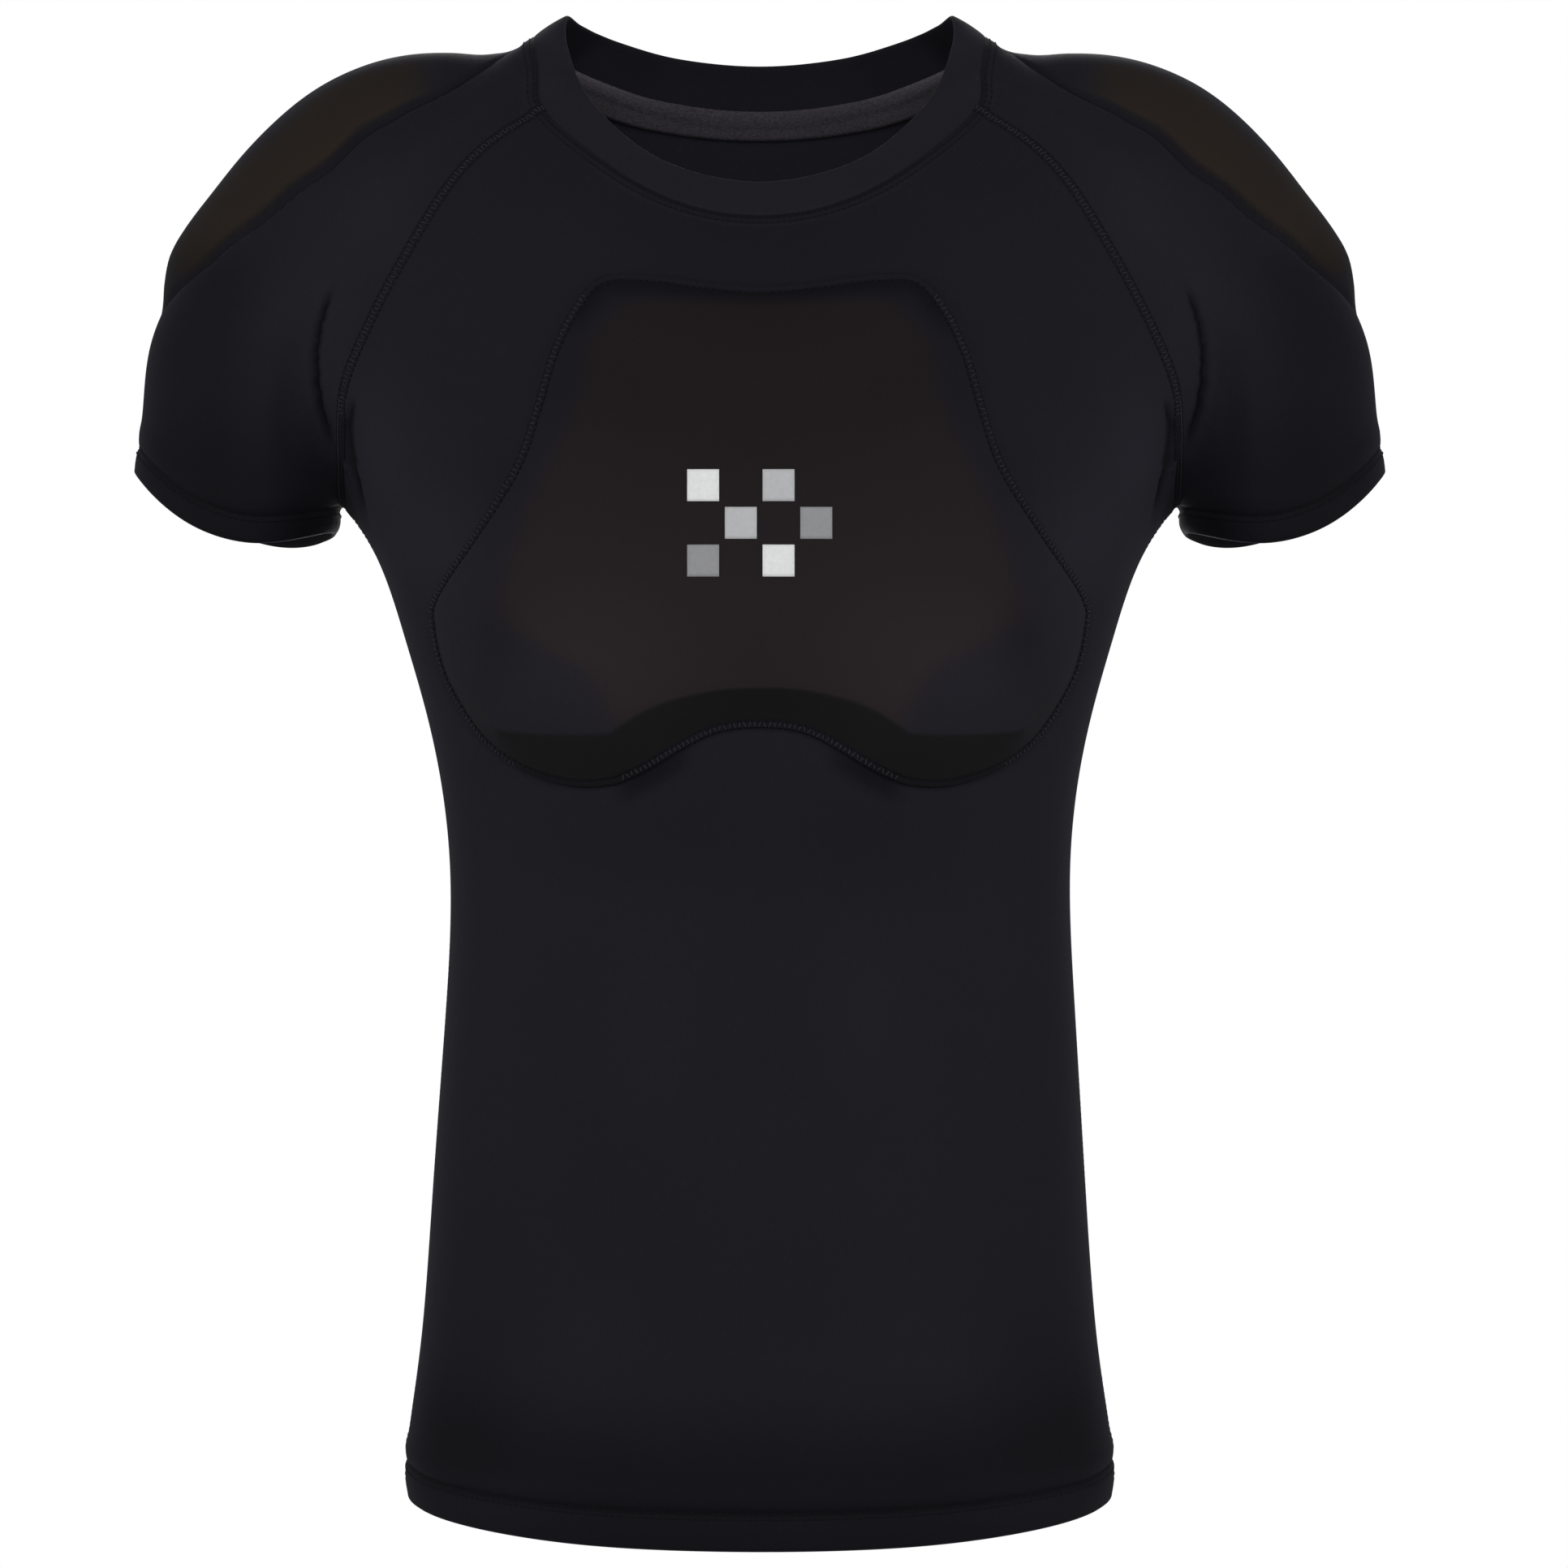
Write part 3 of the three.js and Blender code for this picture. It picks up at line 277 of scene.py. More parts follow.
def subdivide(V, Q, tag):
    n, m = len(V), len(Q)
    U, fe, cnt, _ = edges_of(V, Q)
    F = V[Q].mean(1)
    mid = (V[U[:, 0]] + V[U[:, 1]]) / 2
    fsum = gather(fe.T.ravel(), np.tile(F, (4, 1)), len(U))
    edge = np.where(cnt[:, None] == 2, (2 * mid + fsum) / 4, mid)
    val = np.bincount(U.ravel(), minlength=n).astype(float)[:, None]
    fa = gather(Q.T.ravel(), np.tile(F, (4, 1)), n) / np.maximum(np.bincount(Q.ravel(), minlength=n), 1)[:, None]
    ra = gather(U.T.ravel(), np.tile(mid, (2, 1)), n) / val
    vert = (fa + 2 * ra + (val - 3) * V) / val
    rim = U[cnt == 1]
    bs = gather(rim.T.ravel(), V[rim[:, ::-1].T.ravel()], n)
    on = np.bincount(rim.ravel(), minlength=n) > 0
    vert[on] = (6 * V[on] + bs[on]) / 8
    q = np.stack([np.stack([Q[:, k], n + fe[:, k], n + len(U) + np.arange(m), n + fe[:, (k + 3) % 4]], 1) for k in range(4)], 1).reshape(-1, 4)
    return np.concatenate([vert, edge, F]), q, np.repeat(tag, 4)


def limit(V, Q):
    n = len(V)
    U, fe, cnt, _ = edges_of(V, Q)
    val = np.bincount(U.ravel(), minlength=n).astype(float)[:, None]
    es = gather(U.T.ravel(), V[U[:, ::-1].T.ravel()], n)
    fs = gather(Q.T.ravel(), V[Q[:, [2, 3, 0, 1]].T.ravel()], n)
    out = (val * val * V + 4 * es + fs) / (val * (val + 5))
    rim = U[cnt == 1]
    bs = gather(rim.T.ravel(), V[rim[:, ::-1].T.ravel()], n)
    on = np.bincount(rim.ravel(), minlength=n) > 0
    out[on] = (4 * V[on] + bs[on]) / 6
    return out


V, Q, T = np.array(verts), np.array(quads), np.array(tags)
goal = V.copy()
for _ in range(14):
    V = V + goal - limit(V, Q)
LEVEL = 4
for _ in range(LEVEL):
    V, Q, T = subdivide(V, Q, T)
V = limit(V, Q)
U, FE, CNT, INV = edges_of(V, Q)


def normals_of(P):
    return unit(gather(Q.T.ravel(), np.tile(np.cross(P[Q[:, 2]] - P[Q[:, 0]], P[Q[:, 3]] - P[Q[:, 1]]), (4, 1)), len(P)))


N = normals_of(V)


# ---------------------------------------------------------------- what the cloth lies over, and its creases
def pad_angle(P):
    return np.degrees(np.arctan2(np.abs(P[:, 0]) - PAD_LINE[0], P[:, 2] - PAD_LINE[1]))


def pad_inside(P):
    """Way in from the shoulder pad's edge, along the skin from front to back."""
    a = pad_angle(P)
    return column(SHOULDER_PAD, a, "half", "angle") + 0.9 * np.sin(a / 4.1 + 0.6) * smooth(8, 20, a) * (1 - smooth(60, 74, a)) - np.abs(P[:, 1])


def pad_at(P):
    """Rise of the sleeve over the foam: a small sharp step at the foam's edge, then a long soft dome."""
    a = pad_angle(P)
    foam, d = column(SHOULDER_PAD, a, "foam", "angle"), pad_inside(P)
    step = smooth(-0.7, 0.6, d)
    dome = 1 - (1 - np.clip(d / 26, 0, 1)) ** 2.1
    dip = -1.5 * np.exp(-((d + 1.7) / 1.15) ** 2) * smooth(0, 4, foam)
    return np.where((a > SHOULDER_PAD[0]["angle"]) & (a < SHOULDER_PAD[-1]["angle"]), foam * (0.27 * step + 0.73 * dome) + dip, 0)


def line_distance(line, x, z):
    best, along, sign = np.full(len(x), 1e9), np.zeros(len(x)), np.zeros(len(x))
    for i in range(len(line) - 1):
        (ax, az), (bx, bz) = line[i], line[i + 1]
        l2 = (bx - ax) ** 2 + (bz - az) ** 2
        t = np.clip(((x - ax) * (bx - ax) + (z - az) * (bz - az)) / l2, 0, 1)
        dx, dz = x - ax - t * (bx - ax), z - az - t * (bz - az)
        d = np.hypot(dx, dz)
        near = d < best
        best = np.where(near, d, best)
        along = np.where(near, (i + t) / (len(line) - 1), along)
        sign = np.where(near, np.sign((bx - ax) * dz - (bz - az) * dx), sign)
    return best, along, sign


def fold_at(P):
    s = np.zeros(len(P))
    for f in FOLDS:
        near = (np.abs(P[:, 0]) > 30) & (P[:, 2] < -90) & (P[:, 2] > -420) & (P[:, 1] * f["side"] > 8)
        if not near.any():
            continue
        p = P[near]
        d, along, sg = line_distance(f["line"], np.abs(p[:, 0]), p[:, 2])
        fade = np.sin(np.pi * np.clip(along, 0.03, 0.97)) ** 0.7 * (0.85 + 0.15 * np.sin(9 * along + f["width"]))
        w = f["width"]
        v = -f["depth"] * np.exp(-(d / w) ** 2) + f["ridge"] * np.exp(-((d * sg - 2.1 * w) / (1.2 * w)) ** 2)
        s[near] += v * fade * smooth(8, 22, np.abs(p[:, 1]))
    return s


HEM_Z = TRUNK[-1]["z"]


def hem_height(P):
    """Height over the hem's edge, which runs a little higher at the sides."""
    return P[:, 2] - (HEM_Z + TRUNK[-1]["rise"] * np.clip(np.abs(P[:, 0]) / TRUNK[-1]["side"], 0, 1) ** 2.3)


rim_edges = U[CNT == 1]
rim_pts = np.unique(rim_edges)
cuff_ids = rim_pts[(np.abs(V[rim_pts, 0]) > 186) & (V[rim_pts, 2] < -180)]
neck_ids = rim_pts[V[rim_pts, 2] > -100]


def nearest(P, ids):
    from mathutils.kdtree import KDTree
    tree = KDTree(len(ids))
    for k, i in enumerate(ids):
        tree.insert(V[i], k)
    tree.balance()
    return np.array([tree.find(p)[2] for p in P])


def ripple(P, a, b, c, seed):
    return np.sin(P[:, 0] / a + seed) * np.sin(P[:, 2] / b + 1.7 * seed) * np.cos(P[:, 1] / c + 0.6 * seed)


sleeve_v = np.unique(Q[(T == LEFT) | (T == RIGHT)])
to_cuff = np.full(len(V), 1e3)
low = sleeve_v[V[sleeve_v, 2] < -120]
to_cuff[low] = nearest(V[low], cuff_ids)
to_hem = hem_height(V)
is_sleeve = np.zeros(len(V), bool)
is_sleeve[sleeve_v] = True


def turned(h, depth):
    """A turned-up edge: a groove at the twin stitches, a soft swelling over it, the edge itself a little fuller."""
    return (-1.5 * np.exp(-((h - depth) / 1.0) ** 2) + 0.9 * np.exp(-((h - depth - 6.5) / 4.2) ** 2)
            + 0.6 * np.exp(-((h - depth * 0.45) / (0.36 * depth)) ** 2))


# points closer together along the pad's edge, the creases and the stitched edges
def gradient(D):
    P = V[Q]
    e1, e2 = (P[:, 1] + P[:, 2] - P[:, 0] - P[:, 3]) / 2, (P[:, 2] + P[:, 3] - P[:, 0] - P[:, 1]) / 2
    d = D[Q]
    d1, d2 = (d[:, 1] + d[:, 2] - d[:, 0] - d[:, 3]) / 2, (d[:, 2] + d[:, 3] - d[:, 0] - d[:, 1]) / 2
    a, b, c = (e1 * e1).sum(1), (e1 * e2).sum(1), (e2 * e2).sum(1)
    det = np.maximum(a * c - b * b, 1e-9)
    g = e1 * ((d1 * c - d2 * b) / det)[:, None] + e2 * ((d2 * a - d1 * b) / det)[:, None]
    return gather(Q.T.ravel(), np.tile(g, (4, 1)), len(V)) / np.bincount(Q.ravel(), minlength=len(V))[:, None]


def draw_in(D, span, share, where):
    """Moves points along the skin so that they lie closer together where the field D is near nothing."""
    g = gradient(D)
    steep = np.maximum((g * g).sum(1), 0.2)
    move = -(1 - share) * D * np.exp(-(D / span) ** 2) * where
    return g * (move / steep)[:, None]


def fold_distance(P, f):
    d, along, _ = line_distance(f["line"], np.abs(P[:, 0]), P[:, 2])
    return np.where(P[:, 1] * f["side"] > 8, d, 1e3), smooth(0.03, 0.2, along) * (1 - smooth(0.8, 0.97, along))


# the two faces at each inner edge, and so the edges between two pieces
face_at = np.argsort(INV, kind="stable") % len(Q)
start_at = np.concatenate([[0], np.cumsum(CNT)[:-1]])
inner_edges = np.where(CNT == 2)[0]
ta, tb = T[face_at[start_at[inner_edges]]], T[face_at[start_at[inner_edges] + 1]]
seam_ids = np.unique(U[inner_edges[ta != tb]])
to_seam = nearest(V, seam_ids)
to_neck = np.full(len(V), 1e3)
high = V[:, 2] > -110
to_neck[high] = nearest(V[high], neck_ids)
held = smooth(0.4, 5.0, to_seam)
skin_tree = BVHTree.FromPolygons([Vector(p) for p in V], [tuple(map(int, f)) for f in np.concatenate([Q[:, [0, 1, 2]], Q[:, [0, 2, 3]]])])
shift = draw_in(pad_inside(V), 5.0, 0.33, held * is_sleeve * (pad_angle(V) > -14) * (pad_angle(V) < 83))
for f in FOLDS:
    if f["width"] < 2.5:
        d, inner_part = fold_distance(V, f)
        shift += draw_in(d, 3.4, 0.34, held * smooth(1.0, 3.0, to_seam) * inner_part)
shift += draw_in(to_hem - HEM_DEPTH, 4.5, 0.4, (~is_sleeve) * 1.0)
shift += draw_in(np.where(to_cuff < 900, to_cuff, 1e3) - CUFF_DEPTH, 4.0, 0.4, is_sleeve * (to_cuff < 60) * 1.0)
shift += draw_in(to_neck - 6.0, 4.0, 0.5, (to_neck < 60) * 1.0)
moved = np.where(np.linalg.norm(shift, axis=1) > 0.02)[0]
fresh = V.copy()
for i in moved:
    fresh[i] = skin_tree.find_nearest(Vector(V[i] + shift[i]))[0]
V = fresh
N = normals_of(V)
to_seam = nearest(V, seam_ids)
to_neck[high] = nearest(V[high], neck_ids)
to_cuff[low] = nearest(V[low], cuff_ids)
to_hem = hem_height(V)

R = np.zeros(len(V))
R += np.where(is_sleeve, pad_at(V), 0)
R += 0.6 * (1 - smooth(5.3, 6.7, to_neck))
R -= 0.55 * np.exp(-(to_seam / 2.6) ** 2) * smooth(6, 14, to_neck) * smooth(12, 20, to_hem)
R += fold_at(V)
R += turned(to_hem, HEM_DEPTH) * (~is_sleeve)
R += np.where(is_sleeve & (to_cuff < 40), turned(to_cuff, CUFF_DEPTH) * 0.55, 0)
R += 0.35 * ripple(V, 31, 47, 40, 0.4) + 0.22 * ripple(V, 17, 23, 26, 2.1)
OUT = V + N * R[:, None]
# normals of the finished surface
M = normals_of(OUT)
WALL = np.full(len(V), CLOTH)
WALL = np.where(~is_sleeve, CLOTH + (HEM_WALL - CLOTH) * (1 - smooth(HEM_DEPTH - 1.5, HEM_DEPTH + 1.5, to_hem)), WALL)
WALL = np.where(is_sleeve, CLOTH + (HEM_WALL - CLOTH) * (1 - smooth(CUFF_DEPTH - 1.5, CUFF_DEPTH + 1.5, to_cuff)), WALL)


# ---------------------------------------------------------------- objects
def new_object(name, points, faces, material, attributes=None):
    me = bpy.data.meshes.new(name)
    me.from_pydata((np.asarray(points) * MM).tolist(), [], [list(map(int, f)) for f in faces])
    me.polygons.foreach_set("use_smooth", np.ones(len(me.polygons), bool))
    for key, values in (attributes or {}).items():
        at = me.attributes.new(key, "FLOAT", "POINT")
        at.data.foreach_set("value", np.asarray(values, np.float32))
    me.validate()
    me.update()
    ob = bpy.data.objects.new(name, me)
    scene.collection.objects.link(ob)
    me.materials.append(material)
    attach(ob, "root")
    return ob


def area_of(points, faces):
    F = np.asarray(faces)
    return 0.5 * np.linalg.norm(np.cross(points[F[:, 2]] - points[F[:, 0]], points[F[:, 3]] - points[F[:, 1]]), axis=1).sum()


# ---------------------------------------------------------------- materials
def nodes_of(name):
    m = bpy.data.materials.new(name)
    m.use_nodes = True
    nt = m.node_tree
    nt.nodes.clear()
    out = nt.nodes.new("ShaderNodeOutputMaterial")
    bsdf = nt.nodes.new("ShaderNodeBsdfPrincipled")
    nt.links.new(bsdf.outputs["BSDF"], out.inputs["Surface"])
    return m, nt, bsdf


def add(nt, kind, **values):
    n = nt.nodes.new(kind)
    for k, v in values.items():
        if k in n.inputs:
            n.inputs[k].default_value = v
        else:
            setattr(n, k, v)
    return n


def mix_colour(nt, a, b, factor):
    n = nt.nodes.new("ShaderNodeMix")
    n.data_type = "RGBA"
    for socket, value in ((6, a), (7, b)):
        if isinstance(value, tuple):
            n.inputs[socket].default_value = (*value, 1)
        else:
            nt.links.new(value, n.inputs[socket])
    nt.links.new(factor, n.inputs[0])
    return n.outputs[2]


def ramp(nt, source, low, high, a=0.0, b=1.0):
    n = nt.nodes.new("ShaderNodeMapRange")
    n.inputs["From Min"].default_value = low
    n.inputs["From Max"].default_value = high
    n.inputs["To Min"].default_value = a
    n.inputs["To Max"].default_value = b
    nt.links.new(source, n.inputs["Value"])
    return n.outputs["Result"]


def knit(name, cool, warm, rough=0.66, sheen=0.05, grain=0.35, warmth="warm", bevel=None):
    """Fine stretch knit: tiny loops as bump, slow changes of tone, warmer where it is stretched over foam."""
    m, nt, bsdf = nodes_of(name)
    tc = nt.nodes.new("ShaderNodeTexCoord")
    slow = add(nt, "ShaderNodeTexNoise", Scale=9.0, Detail=3.0, Roughness=0.55)
    nt.links.new(tc.outputs["Object"], slow.inputs["Vector"])
    at = add(nt, "ShaderNodeAttribute", attribute_name=warmth)
    darker = tuple(c * 0.96 for c in cool)
    lighter = tuple(c * 1.04 for c in cool)
    base = mix_colour(nt, darker, lighter, ramp(nt, slow.outputs["Fac"], 0.35, 0.65))
    base = mix_colour(nt, base, warm, at.outputs["Fac"])
    if bevel:
        on_bevel = add(nt, "ShaderNodeAttribute", attribute_name="bevel")
        base = mix_colour(nt, base, bevel, on_bevel.outputs["Fac"])
    # loops of the knit: wales are closer together than courses
    mp = nt.nodes.new("ShaderNodeMapping")
    mp.inputs["Scale"].default_value = (1.35, 1.35, 0.8)
    nt.links.new(tc.outputs["Object"], mp.inputs["Vector"])
    loops = add(nt, "ShaderNodeTexVoronoi", Scale=1150.0, Randomness=0.55)
    nt.links.new(mp.outputs["Vector"], loops.inputs["Vector"])
    fuzz = add(nt, "ShaderNodeTexNoise", Scale=420.0, Detail=4.0, Roughness=0.7)
    nt.links.new(mp.outputs["Vector"], fuzz.inputs["Vector"])
    speck = mix_colour(nt, base, tuple(c * 1.9 + 0.001 for c in cool), ramp(nt, fuzz.outputs["Fac"], 0.56, 0.75, 0, 0.35))
    # the base colour is scaled by the tone attribute, which carries painted light and shade
    tone = add(nt, "ShaderNodeAttribute", attribute_name="tone")
    toned = add(nt, "ShaderNodeVectorMath", operation="SCALE")
    nt.links.new(speck, toned.inputs[0])
    nt.links.new(tone.outputs["Fac"], toned.inputs["Scale"])
    nt.links.new(toned.outputs["Vector"], bsdf.inputs["Base Color"])
    b1 = add(nt, "ShaderNodeBump", Strength=grain, Distance=0.00018)
    nt.links.new(loops.outputs["Distance"], b1.inputs["Height"])
    b2 = add(nt, "ShaderNodeBump", Strength=grain * 0.8, Distance=0.00035)
    nt.links.new(fuzz.outputs["Fac"], b2.inputs["Height"])
    nt.links.new(b1.outputs["Normal"], b2.inputs["Normal"])
    nt.links.new(b2.outputs["Normal"], bsdf.inputs["Normal"])
    r = ramp(nt, fuzz.outputs["Fac"], 0.3, 0.7, rough - 0.06, rough + 0.08)
    nt.links.new(r, bsdf.inputs["Roughness"])
    bsdf.inputs["Specular IOR Level"].default_value = 0.05
    bsdf.inputs["Sheen Weight"].default_value = sheen
    bsdf.inputs["Sheen Roughness"].default_value = 0.45
    bsdf.inputs["Sheen Tint"].default_value = (0.75, 0.77, 0.9, 1)
    return m


def plain(name, colour, rough, scale=600.0, bump=0.3, spread=0.25, sheen=0.03, stretch=(1, 1, 1), gloss=0.06, toned=False):
    m, nt, bsdf = nodes_of(name)
    tc = nt.nodes.new("ShaderNodeTexCoord")
    mp = nt.nodes.new("ShaderNodeMapping")
    mp.inputs["Scale"].default_value = stretch
    nt.links.new(tc.outputs["Object"], mp.inputs["Vector"])
    n = add(nt, "ShaderNodeTexNoise", Scale=scale, Detail=4.0, Roughness=0.65)
    nt.links.new(mp.outputs["Vector"], n.inputs["Vector"])
    base = mix_colour(nt, tuple(c * (1 - spread) for c in colour), tuple(min(1, c * (1 + spread)) for c in colour), ramp(nt, n.outputs["Fac"], 0.35, 0.65))
    if toned:
        tone, by = add(nt, "ShaderNodeAttribute", attribute_name="tone"), add(nt, "ShaderNodeVectorMath", operation="SCALE")
        nt.links.new(base, by.inputs[0])
        nt.links.new(tone.outputs["Fac"], by.inputs["Scale"])
        base = by.outputs["Vector"]
    nt.links.new(base, bsdf.inputs["Base Color"])
    nt.links.new(ramp(nt, n.outputs["Fac"], 0.3, 0.7, rough - 0.05, rough + 0.05), bsdf.inputs["Roughness"])
    b = add(nt, "ShaderNodeBump", Strength=bump, Distance=0.0003)
    nt.links.new(n.outputs["Fac"], b.inputs["Height"])
    nt.links.new(b.outputs["Normal"], bsdf.inputs["Normal"])
    bsdf.inputs["Specular IOR Level"].default_value = gloss
    bsdf.inputs["Sheen Weight"].default_value = sheen
    return m


COOL, WARM = (0.0115, 0.0107, 0.0147), (0.0200, 0.0148, 0.0114)
mat_knit = knit("knit_black", COOL, WARM)
mat_band = knit("knit_neckband", (0.0119, 0.0111, 0.0152), WARM, rough=0.68, grain=0.45)
mat_cover = knit("knit_pad_cover", COOL, (0.0206, 0.0144, 0.0128), bevel=(0.0138, 0.0137, 0.0137))
# black stitching thread, made darker than the cloth as painted shade of the grooves it is sunk in
mat_thread = plain("thread_black_groove_shade", (0.0045, 0.0043, 0.0058), 0.7, scale=2500.0, bump=0.2)
# flatlock thread lighter than the cloth: partly its own colour, partly painted highlight on the thread
mat_thread_light = plain("thread_flatlock", (0.032, 0.030, 0.0375), 0.6, scale=2500.0, bump=0.2)
mat_seam = plain("seam_cover", (0.0085, 0.0080, 0.0112), 0.7, scale=1400.0, bump=0.5, stretch=(1, 1, 1))
mat_pad_seam = plain("seam_pad_cover", (0.0085, 0.0080, 0.0112), 0.7, scale=1400.0, bump=0.5, toned=True)
mat_tape = plain("tape_grey", (0.052, 0.047, 0.055), 0.9, scale=1500.0, bump=0.5, spread=0.36, sheen=0.03, stretch=(0.5, 0.7, 1.3), toned=True)
mat_foam = plain("foam_dark", (0.030, 0.030, 0.032), 0.85, scale=900.0, bump=0.6)
mat_print_a = plain("print_white", (0.80, 0.80, 0.80), 0.45, scale=500.0, bump=0.1, spread=0.04, sheen=0)
mat_print_b = plain("print_light_grey", (0.50, 0.50, 0.51), 0.45, scale=500.0, bump=0.1, spread=0.04, sheen=0)
mat_print_c = plain("print_mid_grey", (0.30, 0.30, 0.31), 0.45, scale=500.0, bump=0.1, spread=0.04, sheen=0)


# ---------------------------------------------------------------- sewn panels
def warm_mask(P, sleeve):
    """Over the shoulder foam, from its edge inwards."""
    a, d = pad_angle(P), pad_inside(P)
    inside = smooth(-0.2, 0.5, d) * (1 - smooth(13, 34, d + 2.5 * np.sin(a / 5))) * smooth(-3, 9, a) * (1 - smooth(70, 80, a))
    return np.where(sleeve, inside, 0)


def blob(P, x, z, wide, tall):
    """A soft round zone, the same on both sides of the body's middle."""
    return np.exp(-((np.abs(P[:, 0]) - x) / wide) ** 2 - ((P[:, 2] - z) / tall) ** 2)


# Soft zones of painted light and shade on the knit, the same left and right, each lightening or darkening the base
# colour.
PAINTED_SHADING_ZONES = rows("x z wide tall gain", [
    (167, -183, 20, 30, 0.56), (139, -221, 24, 28, 0.42), (110, -263, 9, 18, -0.20), (127, -266, 9, 22, 0.12), (86, -275, 22, 22, 0.07), (56, -160, 22, 22, -0.12), (30, -345, 62, 24, -0.12), (114, -557, 26, 50, -0.15), (114, -630, 30, 14, 0.12), (72, -276, 46, 34, 0.32), (0, -136, 118, 56, -0.21), (0, -180, 62, 34, -0.16),
    (46, -421, 15, 27, 0.13), (20, -390, 60, 60, 0.07), (70, -555, 40, 40, 0.07)])


def painted_shading_at(P, sleeve=None):
    t = np.ones(len(P))
    for q in PAINTED_SHADING_ZONES:
        g = q["gain"] * blob(P, q["x"], q["z"], q["wide"], q["tall"])
        t += g if sleeve is None else g * np.where(sleeve & (q["x"] < 150), 0, 1)
    # painted shade: darker towards the hem and at its corners
    h, x = hem_height(P), np.abs(P[:, 0])
    t -= 0.46 * (1 - smooth(24, 76, h)) + 0.2 * smooth(85, 140, x) * (1 - smooth(50, 110, h)) * smooth(0, 50, h)
    if sleeve is not None:
        # painted light and shade on the sleeves: lighter near the raglan seam and over the foam, darker under the arm,
        # towards the cuff and low on the outer side
        t += sleeve * (0.22 * blob(P, 186, -128, 16, 50) + 0.2 * blob(P, 163, -79, 16, 24) - 0.55 * blob(P, 188, -214, 17, 13) - 0.16 * smooth(-150, -185, P[:, 2]) - 0.34 * smooth(204, 236, x) * smooth(-84, -106, P[:, 2])
                       + 0.08 * smooth(-30, -60, -pad_inside(P)))
    return t


def around(x, z, steps):
    half = [(r[x], r[z]) for r in CHEST_PAD]
    loop = np.array(half + [(-a, b) for a, b in reversed(half[1:-1])], float)
    n = len(loop)
    s = np.arange(steps) / steps * n
    k = s.astype(int)
    t = (s - k)[:, None]
    p0, p1, p2, p3 = (loop[(k + o) % n] for o in (-1, 0, 1, 2))
    return 0.5 * (2 * p1 + (p2 - p0) * t + (2 * p0 - 5 * p1 + 4 * p2 - p3) * t * t + (3 * p1 - p0 - 3 * p2 + p3) * t ** 3)


def around_value(name, steps):
    half = [r[name] for r in CHEST_PAD]
    loop = np.array(half + half[-2:0:-1], float)
    return np.interp(np.arange(steps) / steps * len(loop), np.arange(len(loop) + 1), np.append(loop, loop[0]))


STEPS = 352
seam_xz, face_xz = around("seamX", "seamZ", STEPS), around("faceX", "faceZ", STEPS)
crisp, rise = around_value("crisp", STEPS), around_value("rise", STEPS)
centre_xz = np.array(CHEST_CENTRE, float)


def to_outline(P):
    """Shortest way from points to the pad's sewn outline."""
    a, b = seam_xz, np.roll(seam_xz, -1, 0)
    ab = b - a
    t = np.clip(((P[:, None] - a) * ab).sum(2) / (ab * ab).sum(1), 0, 1)
    return np.linalg.norm(P[:, None] - (a + ab * t[..., None]), axis=2).min(1)


def line_tone(P):
    """Darker where little light gets in: along the creases, the foam's edge and the stitched lines."""
    t = np.ones(len(P))
    for f in FOLDS:
        if f["width"] < 1.6:
            d, inner_part = fold_distance(P, f)
            t -= (0.55 if f["depth"] > 2.7 else 0.75) * np.exp(-(d / 1.1) ** 2) * inner_part
    a = pad_angle(P)
    edge = np.exp(-((pad_inside(P) + 1.5) / 0.9) ** 2) * smooth(-14, -8, a) * (1 - smooth(72, 80, a))
    t -= 0.4 * edge * is_sleeve
    t -= 0.4 * np.exp(-((to_hem - HEM_DEPTH) / 1.0) ** 2) * (~is_sleeve)
    t -= 0.25 * np.exp(-((to_cuff - CUFF_DEPTH) / 0.9) ** 2) * is_sleeve
    t -= 0.45 * np.exp(-((to_neck - 0.7) / 1.0) ** 2)
    # the panel just outside the pad's arch
    x, z = np.abs(P[:, 0]), P[:, 2]
    by = np.where((x > 24) & (x < 66) & (z < -298) & (z > -338) & (P[:, 1] < 0))[0]
    way = to_outline(P[by][:, [0, 2]])
    t[by] -= 0.5 * (1 - smooth(4.5, 11, way)) * smooth(25, 34, x[by]) * (1 - smooth(52, 64, x[by])) * (1 - smooth(-318, -310, z[by]) * 0.4)
    return np.maximum(t, 0.3)


WARMTH = warm_mask(V, is_sleeve)
# painted light and shade for the whole skin: the soft zones times the painted shade along creases, edges and stitched
# lines
PAINTED_SHADING = painted_shading_at(V, is_sleeve) * line_tone(V)


